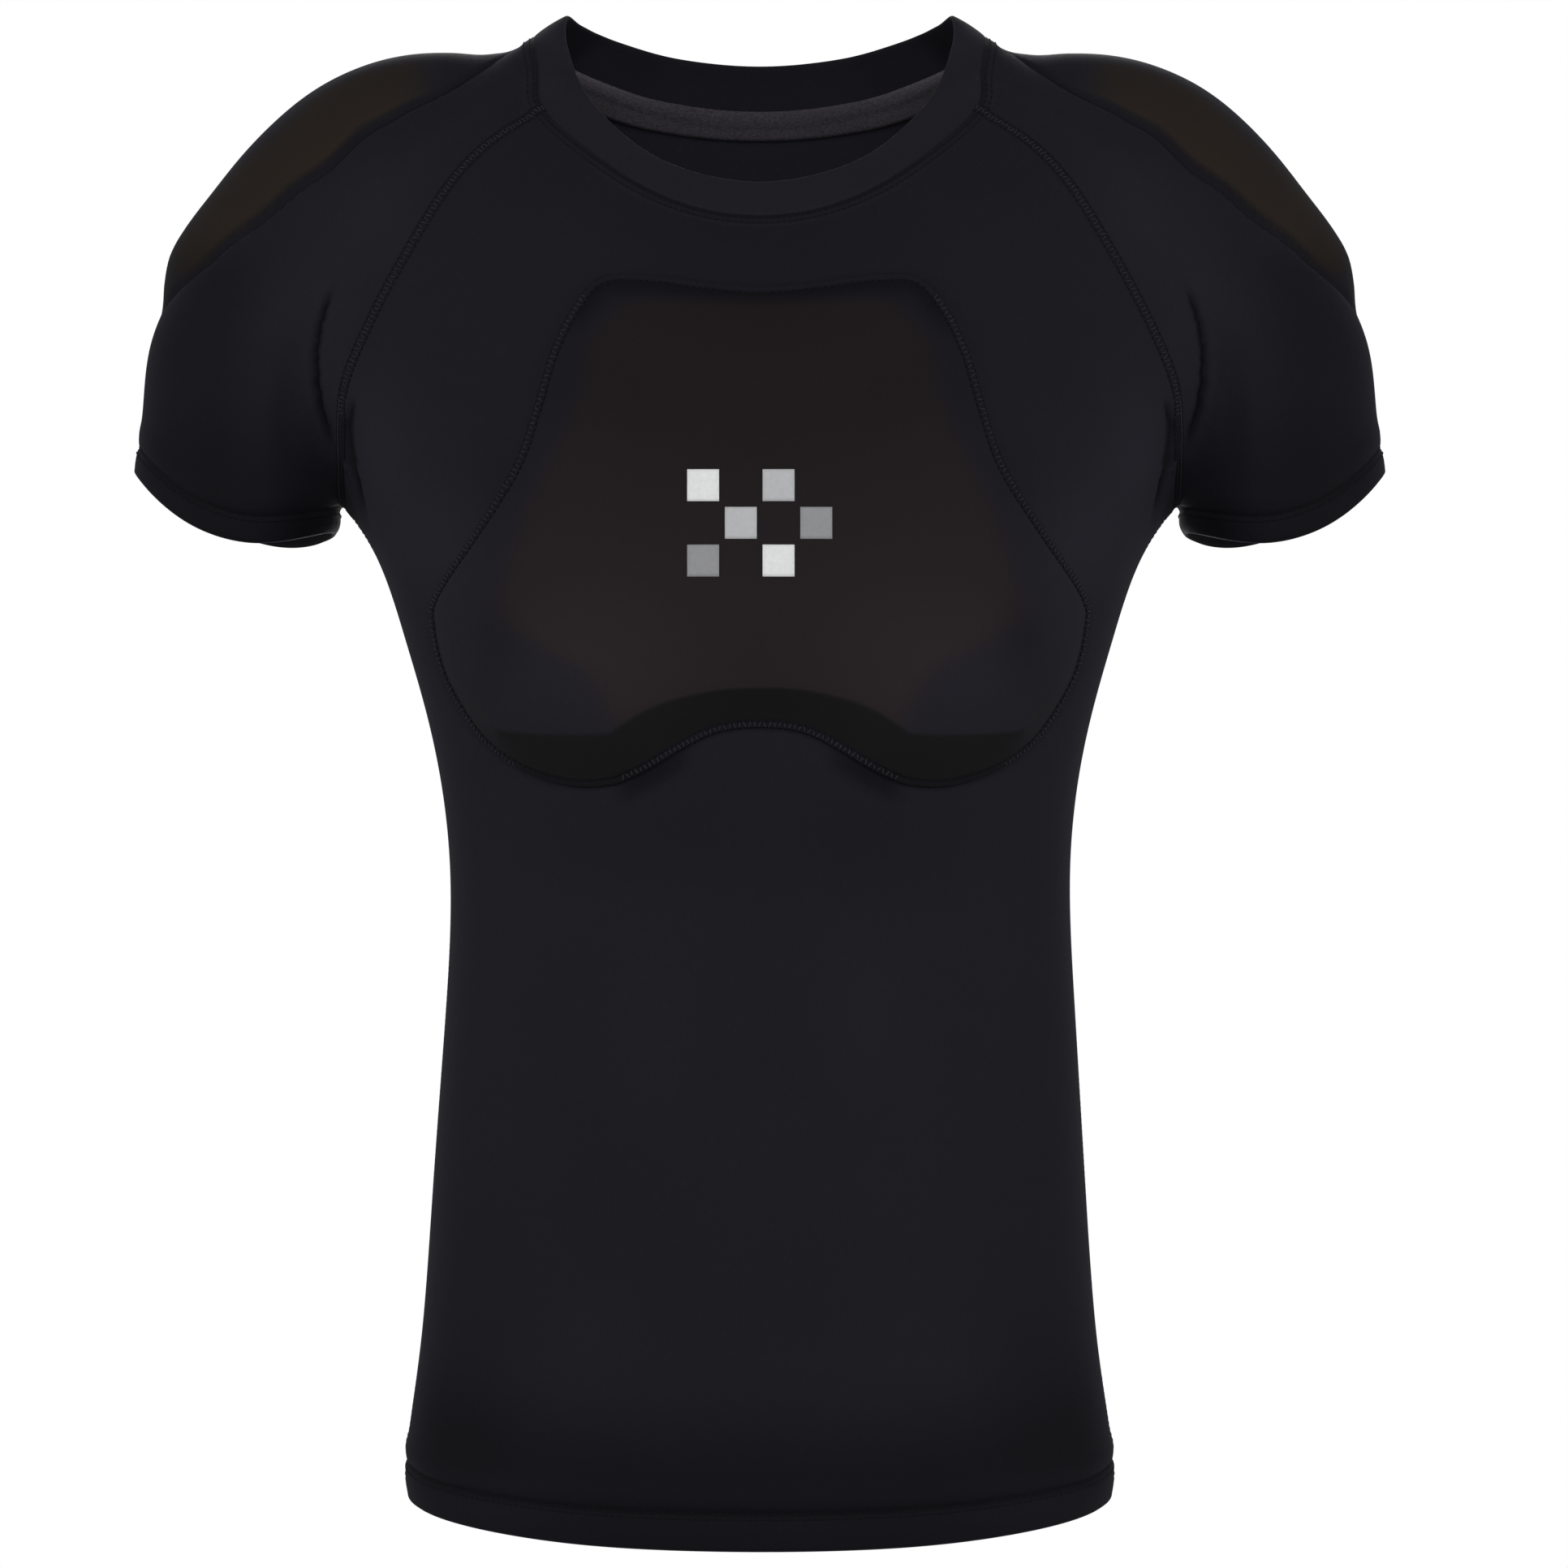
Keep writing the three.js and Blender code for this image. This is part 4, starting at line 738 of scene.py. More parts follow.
def panel(tag, name, node, area):
    faces = Q[T == tag]
    ids = np.unique(faces)
    at = np.full(len(V), -1)
    at[ids] = np.arange(len(ids))
    F = at[faces]
    S = np.concatenate([F[:, [0, 1]], F[:, [1, 2]], F[:, [2, 3]], F[:, [3, 0]]])
    key = np.sort(S, 1)
    k = key[:, 0].astype(np.int64) * len(ids) + key[:, 1]
    _, inv, cnt = np.unique(k, return_inverse=True, return_counts=True)
    rim = S[cnt[inv] == 1]
    P, n = OUT[ids].copy(), M[ids]
    centre = P[F].mean(1)
    csum = gather(F.T.ravel(), np.tile(centre, (4, 1)), len(ids)) / np.bincount(F.ravel(), minlength=len(ids))[:, None]
    inward = csum - P
    inward = unit(inward - n * (inward * n).sum(1, keepdims=True))
    on = np.unique(rim)
    seam = np.ones(len(ids))
    P[on] += inward[on] * EDGE_SHIFT
    wall = WALL[ids][:, None]
    inner = P - N[ids] * wall
    # a rounded edge between the outer and the inner face
    mid = {}
    points = [P, inner]
    extra = []
    for v in on:
        mid[v] = 2 * len(ids) + len(extra)
        extra.append(P[v] - n[v] * wall[v] / 2 - inward[v] * min(0.5 * wall[v, 0], 0.1 if is_seam[ids[v]] else 1.2))
    points.append(np.array(extra))
    c = len(ids)
    out = [tuple(f) for f in F] + [tuple(f[::-1] + c) for f in F]
    for a, b in rim:
        out.append((b, a, mid[a], mid[b]))
        out.append((mid[b], mid[a], a + c, b + c))
    allp = np.concatenate(points)
    warm = np.concatenate([WARMTH[ids], np.zeros(len(ids)), WARMTH[ids[on]]])
    # painted light and shade on the inner faces: much lighter inside the body, where the inside back shows through the
    # neck opening, darker inside the sleeves
    tone = np.concatenate([PAINTED_SHADING[ids], np.full(len(ids), 1.75 if tag in (FRONT, BACK) else 0.6), PAINTED_SHADING[ids[on]]])
    ob = new_object(name, allp, out, mat_knit, {"warm": warm, "tone": tone})
    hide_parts(node)
    worn = area_of(P, F) * 1e-6
    print("AREA", name, round(worn, 4), "stated", area, "share", round(worn / area, 3))
    return ob


# which rim points of the whole skin are open edges rather than seams
is_open = np.zeros(len(V), bool)
is_open[rim_pts] = True
is_seam = ~is_open

front = panel(FRONT, "cloth_front", "front_panel", 0.20)
back = panel(BACK, "cloth_back", "back_panel", 0.21)
sleeve_l = panel(LEFT, "cloth_sleeve_left", "sleeve_left", 0.06)
sleeve_r = panel(RIGHT, "cloth_sleeve_right", "sleeve_right", 0.06)

# ---------------------------------------------------------------- surfaces to lay things on
tri = np.concatenate([Q[:, [0, 1, 2]], Q[:, [0, 2, 3]]])
tri_tag = np.concatenate([T, T])


class Surface:
    def __init__(self, which):
        self.t = tri[np.isin(tri_tag, which)]
        self.tree = BVHTree.FromPolygons([Vector(p) for p in OUT], [tuple(map(int, t)) for t in self.t])

    def meet(self, origin, way):
        p, n, i, d = self.tree.ray_cast(Vector(origin), Vector(way))
        if p is None:
            p, n, i, d = self.tree.find_nearest(Vector(origin))
        p = np.array(p)
        return p, self.normal(p, i)

    def near(self, point):
        p, n, i, d = self.tree.find_nearest(Vector(point))
        p = np.array(p)
        return p, self.normal(p, i)

    def normal(self, p, i):
        a, b, c = OUT[self.t[i]]
        v0, v1, v2 = b - a, c - a, p - a
        d00, d01, d11, d20, d21 = v0 @ v0, v0 @ v1, v1 @ v1, v2 @ v0, v2 @ v1
        den = d00 * d11 - d01 * d01
        v, w = (d11 * d20 - d01 * d21) / den, (d00 * d21 - d01 * d20) / den
        return unit(M[self.t[i]].T @ np.array([1 - v - w, v, w]))


on_front, on_all = Surface([FRONT]), Surface([FRONT, BACK, LEFT, RIGHT])


# ---------------------------------------------------------------- seam lines of the skin
def chain(edge_list):
    nxt = {}
    for a, b in edge_list:
        nxt.setdefault(int(a), []).append(int(b))
        nxt.setdefault(int(b), []).append(int(a))
    ends = [v for v, n in nxt.items() if len(n) == 1]
    closed = not ends
    start = ends[0] if ends else next(iter(nxt))
    out, was, now = [start], None, start
    while True:
        step = [v for v in nxt[now] if v != was]
        if not step or (closed and step[0] == start and len(out) > 2):
            break
        was, now = now, step[0]
        if now == start:
            break
        out.append(now)
    return out, closed


def seam(a, b, keep=None):
    e = U[inner_edges[((ta == a) & (tb == b)) | ((ta == b) & (tb == a))]]
    if keep is not None:
        e = e[keep(V[e].mean(1))]
    return chain(e)[0]


def resample(P, step, closed=False):
    P = np.asarray(P)
    if closed:
        P = np.concatenate([P, P[:1]])
    s = np.concatenate([[0], np.cumsum(np.linalg.norm(np.diff(P, axis=0), axis=1))])
    n = max(3, int(round(s[-1] / step)))
    u = np.linspace(0, s[-1], n + 1)
    if closed:
        u = u[:-1]
    return np.stack([np.interp(u, s, P[:, c]) for c in range(3)], 1)


def frames(P, surface, closed=False):
    """Points laid on a surface, with the way along, the way across and the way out at each."""
    got = [surface.near(p) for p in P]
    C, n = np.array([g[0] for g in got]), np.array([g[1] for g in got])
    if closed:
        t = np.roll(C, -1, 0) - np.roll(C, 1, 0)
    else:
        t = np.gradient(C, axis=0)
    t = unit(t)
    return C, t, unit(np.cross(n, t)), n


def strip(P, surface, width, height, name, closed=False, across=6, lift=0.05, profile=None, material=None):
    """A low raised band of thread over a seam, laid on the cloth all across its width."""
    C, t, w, n = frames(P, surface, closed)
    us = np.linspace(-1, 1, across + 1)
    grid = []
    for u in us:
        line = []
        h = (profile(u) if profile else (1 - u ** 4)) * height
        for c, ww, nn in zip(C, w, n):
            q, m = surface.near(c + ww * u * width / 2)
            line.append(q + m * (h + lift))
        grid.append(line)
    grid = np.array(grid)
    cols, k = len(C), len(us)
    pts = grid.reshape(-1, 3)
    faces = []
    for r in range(k - 1):
        for c in range(cols if closed else cols - 1):
            d = (c + 1) % cols
            faces.append((r * cols + c, r * cols + d, (r + 1) * cols + d, (r + 1) * cols + c))
    return pts, faces


def join(parts):
    pts, faces, base = [], [], 0
    for p, f in parts:
        pts.append(np.asarray(p))
        faces += [tuple(i + base for i in x) for x in f]
        base += len(p)
    return np.concatenate(pts), faces


def stitch_row(P, surface, offset, pitch, length, radius, closed=False, slant=0.0, lift=0.12):
    """A row of single stitches, each a small rounded float of thread that dips into the cloth at both ends."""
    C, t, w, n = frames(resample(P, pitch, closed), surface, closed)
    pts, faces = [], []
    k = 4
    for c, tt, ww, nn in zip(C, t, w, n):
        mid, m = surface.near(c + ww * offset)
        way = unit(tt + ww * slant)
        sidew = np.cross(m, way)
        base = len(pts)
        for s, h, r in ((-0.5, -0.7, 0.55), (-0.28, 0.55, 1.0), (0.28, 0.55, 1.0), (0.5, -0.7, 0.55)):
            o = mid + way * s * length + m * (lift + h * radius)
            for i in range(k):
                a = 2 * math.pi * (i + 0.5) / k
                pts.append(o + radius * r * (math.cos(a) * sidew + math.sin(a) * m))
        for s in range(3):
            for i in range(k):
                j = (i + 1) % k
                faces.append((base + s * k + i, base + s * k + j, base + (s + 1) * k + j, base + (s + 1) * k + i))
        faces.append(tuple(base + i for i in range(k)))
        faces.append(tuple(base + 3 * k + i for i in reversed(range(k))))
    return np.array(pts), faces


def cross_row(C, w, t, lay, half, pitch_slant, radius, lift=0.1):
    """Thread that crosses a seam from side to side, one short float at each point, never quite even."""
    pts, faces = [], []
    k = 4
    rng = np.random.default_rng(7)
    for i, (c, ww, tt) in enumerate(zip(C, w, t)):
        base = len(pts)
        lean = pitch_slant * (1 if i % 2 else -1) * rng.uniform(0.4, 1.3)
        reach, c = half * rng.uniform(0.72, 1.05), c + ww * half * rng.uniform(-0.2, 0.2)
        # in some stretches the thread is pulled in deeper than in others
        pull = 0.5 + 0.5 * math.sin(0.31 * i + 1.9 * math.sin(0.083 * i))
        sunk = radius * (1.5 * max(0.0, 0.4 - pull) + rng.uniform(0, 0.35))
        for u, h, r in ((-1.0, -0.5, 0.6), (-0.6, 0.6, 1.0), (0.6, 0.6, 1.0), (1.0, -0.5, 0.6)):
            q, m = lay(c + ww * u * reach + tt * u * lean)
            side = unit(np.cross(m, ww))
            o = q + m * (lift - sunk + h * radius)
            for j in range(k):
                a = 2 * math.pi * (j + 0.5) / k
                pts.append(o + radius * r * (math.cos(a) * side + math.sin(a) * m))
        for q in range(3):
            for j in range(k):
                n = (j + 1) % k
                faces.append((base + q * k + j, base + q * k + n, base + (q + 1) * k + n, base + (q + 1) * k + j))
        faces.append(tuple(base + j for j in reversed(range(k))))
        faces.append(tuple(base + 3 * k + j for j in range(k)))
    return np.array(pts), faces


# ---------------------------------------------------------------- chest pad
def pad_height(share, bevel, way_in):
    """Height of the pad's face; share runs from its middle to the face's edge, bevel from there to the seam."""
    if bevel <= 0:
        sharp = CHEST_FOAM + 0.9 * (1 - share ** 2) - 0.35 * share ** 24
    else:
        u = min(bevel / 0.9, 1.0)
        sharp = CHEST_FLANGE + (CHEST_FOAM - 0.35 - CHEST_FLANGE) * (1 - u) ** 1.08
    full = CHEST_FOAM + 0.9 * (1 - share ** 2 if bevel <= 0 else 0)
    t = np.clip((way_in - 2.4) / rise, 0, 1)
    soft = CHEST_FLANGE + (full - CHEST_FLANGE) * (1 - (1 - t) ** 2.0)
    return crisp * sharp + (1 - crisp) * soft


def pad_ring(share, bevel):
    if bevel <= 0:
        return centre_xz + (face_xz - centre_xz) * share
    return face_xz + (seam_xz - face_xz) * bevel


ring_list = [(s, 0.0) for s in np.linspace(0.03, 0.94, 28)] + [(0.96, 0), (0.977, 0), (0.99, 0), (0.996, 0), (1.0, 0)]
ring_list += [(1.0, b) for b in (0.03, 0.08, 0.15, 0.23, 0.32, 0.41, 0.5, 0.59, 0.67, 0.74, 0.8, 0.85, 0.9, 0.95, 1.0)]
top, under = [], []
for share, bevel in ring_list:
    xz = pad_ring(share, bevel)
    h = pad_height(share, bevel, to_outline(xz))
    hits = [on_front.meet((x, -400, z), (0, 1, 0)) for x, z in xz]
    p, n = np.array([g[0] for g in hits]), np.array([g[1] for g in hits])
    top.append(p + n * (LAY_GAP + h[:, None]))
    under.append(p + n * LAY_GAP)
top, under = np.array(top), np.array(under)
top_grid = top.copy()


def ring_faces(count, steps, flip=False, offset=0):
    r, c = np.meshgrid(np.arange(count - 1), np.arange(steps), indexing="ij")
    d = (c + 1) % steps
    f = np.stack([r * steps + c, r * steps + d, (r + 1) * steps + d, (r + 1) * steps + c], -1).reshape(-1, 4) + offset
    return f[:, ::-1] if flip else f


n_top = top.shape[0] * STEPS
p_mid, n_mid = on_front.meet((centre_xz[0], -400, centre_xz[1]), (0, 1, 0))
pts = np.concatenate([top.reshape(-1, 3), under.reshape(-1, 3), [p_mid + n_mid * (LAY_GAP + CHEST_FOAM + 0.9)], [p_mid + n_mid * LAY_GAP]])
faces = [tuple(f) for f in ring_faces(len(ring_list), STEPS)] + [tuple(f) for f in ring_faces(len(ring_list), STEPS, True, n_top)]
for c in range(STEPS):
    d = (c + 1) % STEPS
    edge = (len(ring_list) - 1) * STEPS
    faces.append((edge + c, edge + d, n_top + edge + d, n_top + edge + c))
    faces.append((2 * n_top, d, c))
    faces.append((2 * n_top + 1, n_top + c, n_top + d))
# where the cover is stretched hardest over the foam, lighter and warmer
CHEST_WARM = rows("z half", [(-320, 56), (-304, 60), (-289, 65), (-276, 75), (-266, 93), (-254, 109), (-235, 105), (-214, 99), (-194, 89.5),
                             (-177, 80.5), (-160, 74.5), (-147, 72.5), (-137, 69), (-130, 63), (-124, 56), (-118, 50)])


def chest_warmth(P):
    half = column(CHEST_WARM, P[:, 2], "half", "z")
    return 0.6 * (1 - smooth(half - 9, half + 8, np.abs(P[:, 0]))) * (1 - smooth(-124, -118, P[:, 2]))


warm = np.zeros(len(pts))
slope = np.outer([smooth(0.0, 0.06, b) for _, b in ring_list], crisp).ravel()
warm[:n_top] = chest_warmth(pts[:n_top]) * (1 - slope)
bevel_part = np.zeros(len(pts))
bevel_part[:n_top] = slope
tone = np.ones(len(pts))
# painted shade on the cover: darker on its crisp bevel and just inside its top seam, on top of the painted light and
# shade zones
shade_below_top_seam = (1 - smooth(3, 14, np.concatenate([to_outline(pad_ring(s, b)) for s, b in ring_list]))) * smooth(-140, -124, pts[:n_top, 2])
tone[:n_top] = painted_shading_at(pts[:n_top]) * (1 - 0.41 * slope) * (1 - 0.45 * shade_below_top_seam)
chest = new_object("chest_pad_cover", pts, faces, mat_cover, {"warm": warm, "tone": tone, "bevel": bevel_part})
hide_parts("chest_pad")

# ---------------------------------------------------------------- shoulder pads, under the sleeves
def shoulder_pad(flip, name, node):
    surface = Surface([LEFT])
    top, under = [], []
    angles = np.linspace(SHOULDER_PAD[0]["angle"] + 2.5, SHOULDER_PAD[-1]["angle"] - 2.5, 46)
    across = np.sin(np.linspace(-1, 1, 33) * math.pi / 2) * 0.97
    for a in angles:
        half, foam = float(column(SHOULDER_PAD, a, "half", "angle")), float(column(SHOULDER_PAD, a, "foam", "angle"))
        way = (math.sin(math.radians(a)), 0, math.cos(math.radians(a)))
        row_t, row_u = [], []
        for t in across:
            o = Vector((PAD_LINE[0], t * half, PAD_LINE[1]))
            p, n = surface.meet(o + Vector(way) * 60, way)
            edge = min(1.0, (1 - abs(t)) * half / PAD_BEVEL)
            thick = 1.0 + max(foam - 0.5, 0.2) * edge ** 0.8
            row_t.append(p - n * (CLOTH + 0.55))
            row_u.append(p - n * (CLOTH + 0.55 + thick))
        top.append(row_t)
        under.append(row_u)
    top, under = np.array(top), np.array(under)
    r, c = top.shape[:2]
    pts = np.concatenate([top.reshape(-1, 3), under.reshape(-1, 3)])
    n = r * c
    faces = []
    for i in range(r - 1):
        for j in range(c - 1):
            a, b, d, e = i * c + j, (i + 1) * c + j, (i + 1) * c + j + 1, i * c + j + 1
            faces += [(a, b, d, e), (e + n, d + n, b + n, a + n)]
    loop = [j for j in range(c)] + [i * c + c - 1 for i in range(1, r)] + [(r - 1) * c + j for j in range(c - 2, -1, -1)] + [i * c for i in range(r - 2, 0, -1)]
    for i in range(len(loop)):
        a, b = loop[i], loop[(i + 1) % len(loop)]
        faces.append((a, b, b + n, a + n))
    if flip:
        pts = pts * np.array([-1, 1, 1])
        faces = [f[::-1] for f in faces]
    ob = new_object(name, pts, faces, mat_foam)
    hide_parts(node)
    return ob


shoulder_pad(False, "shoulder_foam_left", "shoulder_pad_left")
shoulder_pad(True, "shoulder_foam_right", "shoulder_pad_right")

# ---------------------------------------------------------------- neckband
neck_edges = rim_edges[(V[rim_edges[:, 0], 2] > -100) & (V[rim_edges[:, 1], 2] > -100)]
neck, _ = chain(neck_edges)
neck = np.array(neck)
front_start = int(np.argmin(V[neck, 2] + np.where(V[neck, 1] < 0, 0, 1000)))
neck = np.roll(neck, -front_start)
if V[neck[1], 0] < V[neck[0], 0]:
    neck = np.roll(neck[::-1], 1)
BT = np.array(BAND_TOP, float)
BT = np.concatenate([BT, BT[-2:0:-1] * np.array([-1, 1, 1])])
s = np.arange(len(neck)) / len(neck) * len(BT)
k = s.astype(int)
t = (s - k)[:, None]
p0, p1, p2, p3 = (BT[(k + o) % len(BT)] for o in (-1, 0, 1, 2))
band_top = 0.5 * (2 * p1 + (p2 - p0) * t + (2 * p0 - 5 * p1 + 4 * p2 - p3) * t * t + (3 * p1 - p0 - 3 * p2 + p3) * t ** 3)
base, bn = OUT[neck], M[neck]
way = unit(band_top - base)
outw = unit(bn - way * (bn * way).sum(1, keepdims=True))
# smooth the outward way along the band
for _ in range(12):
    outw = unit(outw + 0.5 * (np.roll(outw, 1, 0) + np.roll(outw, -1, 0)))
root = base + way * BAND_GAP
length = band_top - root
prof = []  # share of the height, distance out from the outer face
for u in np.linspace(0, 0.94, 15):
    prof.append((u, 4 * u * (1 - u) * 1.0 - 0.25 * math.exp(-u * 18)))
for a in np.linspace(0, math.pi, 9)[1:-1]:
    prof.append((0.94 + 0.06 * math.sin(a), 4 * 0.94 * 0.06 - BAND_WALL * 0.5 * (1 - math.cos(a))))
for u in np.linspace(0.94, 0, 12):
    prof.append((u, 4 * u * (1 - u) * 1.0 - BAND_WALL))
band = np.array([root + length * u + outw * d for u, d in prof])
rows_n, cols_n = band.shape[:2]
faces = []
for r in range(rows_n):
    q = (r + 1) % rows_n
    for c in range(cols_n):
        d = (c + 1) % cols_n
        faces.append((r * cols_n + c, r * cols_n + d, q * cols_n + d, q * cols_n + c))
# painted light and shade on the neckband: lighter at the front, darker towards the back
band_ob = new_object("cloth_neckband", band.reshape(-1, 3), faces, mat_band, {"warm": np.zeros(rows_n * cols_n), "tone": 1.17 - 0.26 * smooth(-15, 35, band.reshape(-1, 3)[:, 1])})
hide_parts("neckband")

# ---------------------------------------------------------------- neck tape, inside the back
TAPE_RISE = 2.8  # how far the tape reaches up over the band's inner face at the middle of the back
first, final = int(0.3 * len(neck)), int(0.7 * len(neck))
outer, inner = [], []
for share in np.linspace(0, 1, 10):
    line_o, line_i = [], []
    for i in range(first, final + 1):
        v = neck[i]
        k = 2 * (i - first) / (final - first) - 1
        lift = TAPE_RISE * (1 - k * k) + 0.3
        saw = 0.2 * (2 * abs((i * 0.37) % 1 - 0.5) - 0.5) * (1 if share in (0.0, 1.0) else 0)
        depth = share * (TAPE_DEPTH + 6.5 * k * k) - lift + saw
        if depth >= 0:
            down = unit(np.cross(M[v], unit(OUT[neck[(i + 1) % len(neck)]] - OUT[neck[i - 1]])))
            q, m = on_all.near(OUT[v] + down * depth * (1 if down[2] < 0 else -1))
        else:
            u = -depth / np.linalg.norm(length[i])
            q, m = root[i] + length[i] * u + outw[i] * 4 * u * (1 - u), outw[i]
        wall = CLOTH + (BAND_WALL - CLOTH) * (1 - smooth(-0.5, 10, depth))
        line_o.append(q - m * (wall + 0.35))
        line_i.append(q - m * (wall + 0.35 + TAPE_WALL))
    outer.append(line_o)
    inner.append(line_i)
outer, inner = np.array(outer), np.array(inner)
r, c = outer.shape[:2]
n = r * c
pts = np.concatenate([outer.reshape(-1, 3), inner.reshape(-1, 3)])
faces = []
for i in range(r - 1):
    for j in range(c - 1):
        a, b, d, e = i * c + j, (i + 1) * c + j, (i + 1) * c + j + 1, i * c + j + 1
        faces += [(a, b, d, e), (e + n, d + n, b + n, a + n)]
loop = [j for j in range(c)] + [i * c + c - 1 for i in range(1, r)] + [(r - 1) * c + j for j in range(c - 2, -1, -1)] + [i * c for i in range(r - 2, 0, -1)]
for i in range(len(loop)):
    a, b = loop[i], loop[(i + 1) % len(loop)]
    faces.append((a, b, b + n, a + n))
k = np.abs(np.linspace(-1, 1, c))
tape_ob = new_object("cloth_neck_tape", pts, faces, mat_tape, {"tone": np.tile(1 + 0.8 * smooth(0.3, 0.75, k), 2 * r)})
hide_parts("neck_tape")

# ---------------------------------------------------------------- seams and stitches
seams, threads, crossing = [], [], []
lines = {
    "front_left": seam(FRONT, LEFT), "front_right": seam(FRONT, RIGHT),
    "back_left": seam(BACK, LEFT), "back_right": seam(BACK, RIGHT),
    "side_left": seam(FRONT, BACK, lambda p: p[:, 0] > 0), "side_right": seam(FRONT, BACK, lambda p: p[:, 0] < 0),
}
for name, ids in lines.items():
    P = resample(OUT[ids], 2.0)
    seams.append(strip(P, on_all, 4.6, 0.42, name, profile=lambda u: (1 - abs(u) ** 3) * (0.78 + 0.22 * math.cos(2 * math.pi * u))))
    for off in (-1.9, 1.9):
        threads.append(stitch_row(P, on_all, off, 2.6, 1.9, 0.22, lift=0.20))
    C, t, w, n = frames(resample(OUT[ids], 1.9), on_all)
    shown = (C[:, 2] > -166) | (C[:, 1] > 0)
    crossing.append(cross_row(C[shown], w[shown], t[shown], on_all.near, 1.45, 0.42, 0.24, lift=0.42))
    if name.startswith("front"):
        # under the arm the seam turns on edge; a row of light thread there is a painted highlight along it
        turn = C[(C[:, 2] < -160) & (C[:, 2] > -200)]
        out_way = np.sign(np.mean(w[(C[:, 2] < -160) & (C[:, 2] > -200)][:, 0] * np.sign(turn[:, 0])))
        crossing.append(stitch_row(turn, on_all, 1.1 * out_way, 1.5, 1.9, 0.26, lift=0.42))
pts, faces = join(seams)
seam_ob = new_object("flatlock_seams", pts, faces, mat_seam)
# the pad's outline: flatlock, half on the cover and half on the panel


class Sewn:
    """The front panel and the chest pad's cover on it, as one surface for thread to lie on."""
    def __init__(self):
        P = [Vector(p) for p in top_grid.reshape(-1, 3)] + [Vector(p_mid + n_mid * (LAY_GAP + CHEST_FOAM + 0.9))]
        fan = [(len(P) - 1, (c + 1) % STEPS, c) for c in range(STEPS)]
        self.tree = BVHTree.FromPolygons(P, [tuple(map(int, x)) for x in ring_faces(len(ring_list), STEPS)] + fan)

    def near(self, point):
        base, n = on_front.near(point)
        hit, m, _, _ = self.tree.ray_cast(Vector(base + n * 40), Vector(-n))
        if hit is not None and (np.array(hit) - base) @ n > 0:
            return np.array(hit), n
        return base, n


on_sewn = Sewn()
# the cover's sewn edge: two rows of stitches with the thread crossing between them
edge_line = resample(np.array([on_front.meet((x, -400, z), (0, 1, 0))[0] for x, z in seam_xz]), 2.2, closed=True)
C, t, w, n = frames(edge_line, on_front, closed=True)
to_middle = unit(np.array([on_front.meet((CHEST_CENTRE[0], -400, CHEST_CENTRE[1]), (0, 1, 0))[0]]) - C)
sign = np.sign(((w * to_middle).sum(1)).mean())
pts, faces = [], []
us = np.linspace(-1, 1, 11)
for u in us:
    for c, ww, nn in zip(C, w, n):
        lat = sign * (1.3 + 2.0 * u)
        b, m = on_front.near(c + ww * lat)
        q, _ = on_sewn.near(c + ww * lat)
        rise = float((q - b) @ m)
        body = (LAY_GAP + CHEST_FLANGE) * smooth(-0.95, -0.25, u)
        h = max(rise, float(body)) + 0.05 + (0.24 if -316 < c[2] < -119 else 0.1) * (1 - abs(u) ** 3) * (0.7 + 0.3 * math.cos(2 * math.pi * u))
        pts.append(b + m * h)
m_cols = len(C)
for r in range(len(us) - 1):
    for c in range(m_cols):
        d = (c + 1) % m_cols
        faces.append((r * m_cols + c, r * m_cols + d, (r + 1) * m_cols + d, (r + 1) * m_cols + c))
pts = np.array(pts)
# round the bottoms of the lobes it lies in the shade of the bevel
pad_seam_ob = new_object("chest_pad_seam", pts, faces, mat_pad_seam, {"tone": 1 - 0.42 * smooth(-311, -320, pts[:, 2])})


class Laid(Surface):
    """Any mesh of ours as a surface."""
    def __init__(self, objects):
        P, F, base = [], [], 0
        for o in objects:
            P += [v.co / MM for v in o.data.vertices]
            F += [tuple(i + base for i in f.vertices) for f in o.data.polygons]
            base = len(P)
        self.tree = BVHTree.FromPolygons(P, F)

    def near(self, point):
        p, n, _, _ = self.tree.find_nearest(Vector(point))
        n = np.array(n)
        return np.array(p), n if n[1] < 0 else -n


seam_surface = Laid([pad_seam_ob])
for off in (-0.5, 2.9):
    line = C + w * (sign * off) + n * 2.2
    hits = [on_sewn.near(p) for p in line]
    path = np.array([h[0] for h in hits])
    threads.append(stitch_row(path, on_sewn, 0.0, 2.8, 2.0, 0.22, closed=True, lift=0.34))
line = resample(np.array([on_sewn.near(p)[0] for p in C + w * (sign * 1.25) + n * 2.2]), 2.1, closed=True)
t2 = unit(np.roll(line, -1, 0) - np.roll(line, 1, 0))
w2 = unit(np.cross(np.array([on_front.near(p)[1] for p in line]), t2))
shown = (line[:, 2] < -119) & (line[:, 2] > np.where(np.abs(line[:, 0]) < 60, -322, -316))
crossing.append(cross_row(line[shown], w2[shown], t2[shown], seam_surface.near, 1.3, 0.42, 0.26, lift=0.16))

# turned-up hem and cuffs: two rows of straight stitches each
def level_line(ids, distance, value, surface, inner_only=None):
    """Points of the skin where the distance field crosses a value, in order round the opening."""
    faces = Q[inner_only]
    d = distance
    out = []
    E = np.unique(np.sort(np.concatenate([faces[:, [0, 1]], faces[:, [1, 2]], faces[:, [2, 3]], faces[:, [3, 0]]]), 1), axis=0)
    a, b = d[E[:, 0]] - value, d[E[:, 1]] - value
    cross = (a * b) < 0
    E, a, b = E[cross], a[cross], b[cross]
    t = (a / (a - b))[:, None]
    P = OUT[E[:, 0]] * (1 - t) + OUT[E[:, 1]] * t
    c = P.mean(0)
    ang = np.arctan2(P[:, 1] - c[1], P[:, 0] - c[0])
    order = np.argsort(ang)
    P = P[order]
    # even the line out a little
    for _ in range(6):
        P = 0.5 * P + 0.25 * (np.roll(P, 1, 0) + np.roll(P, -1, 0))
    return P


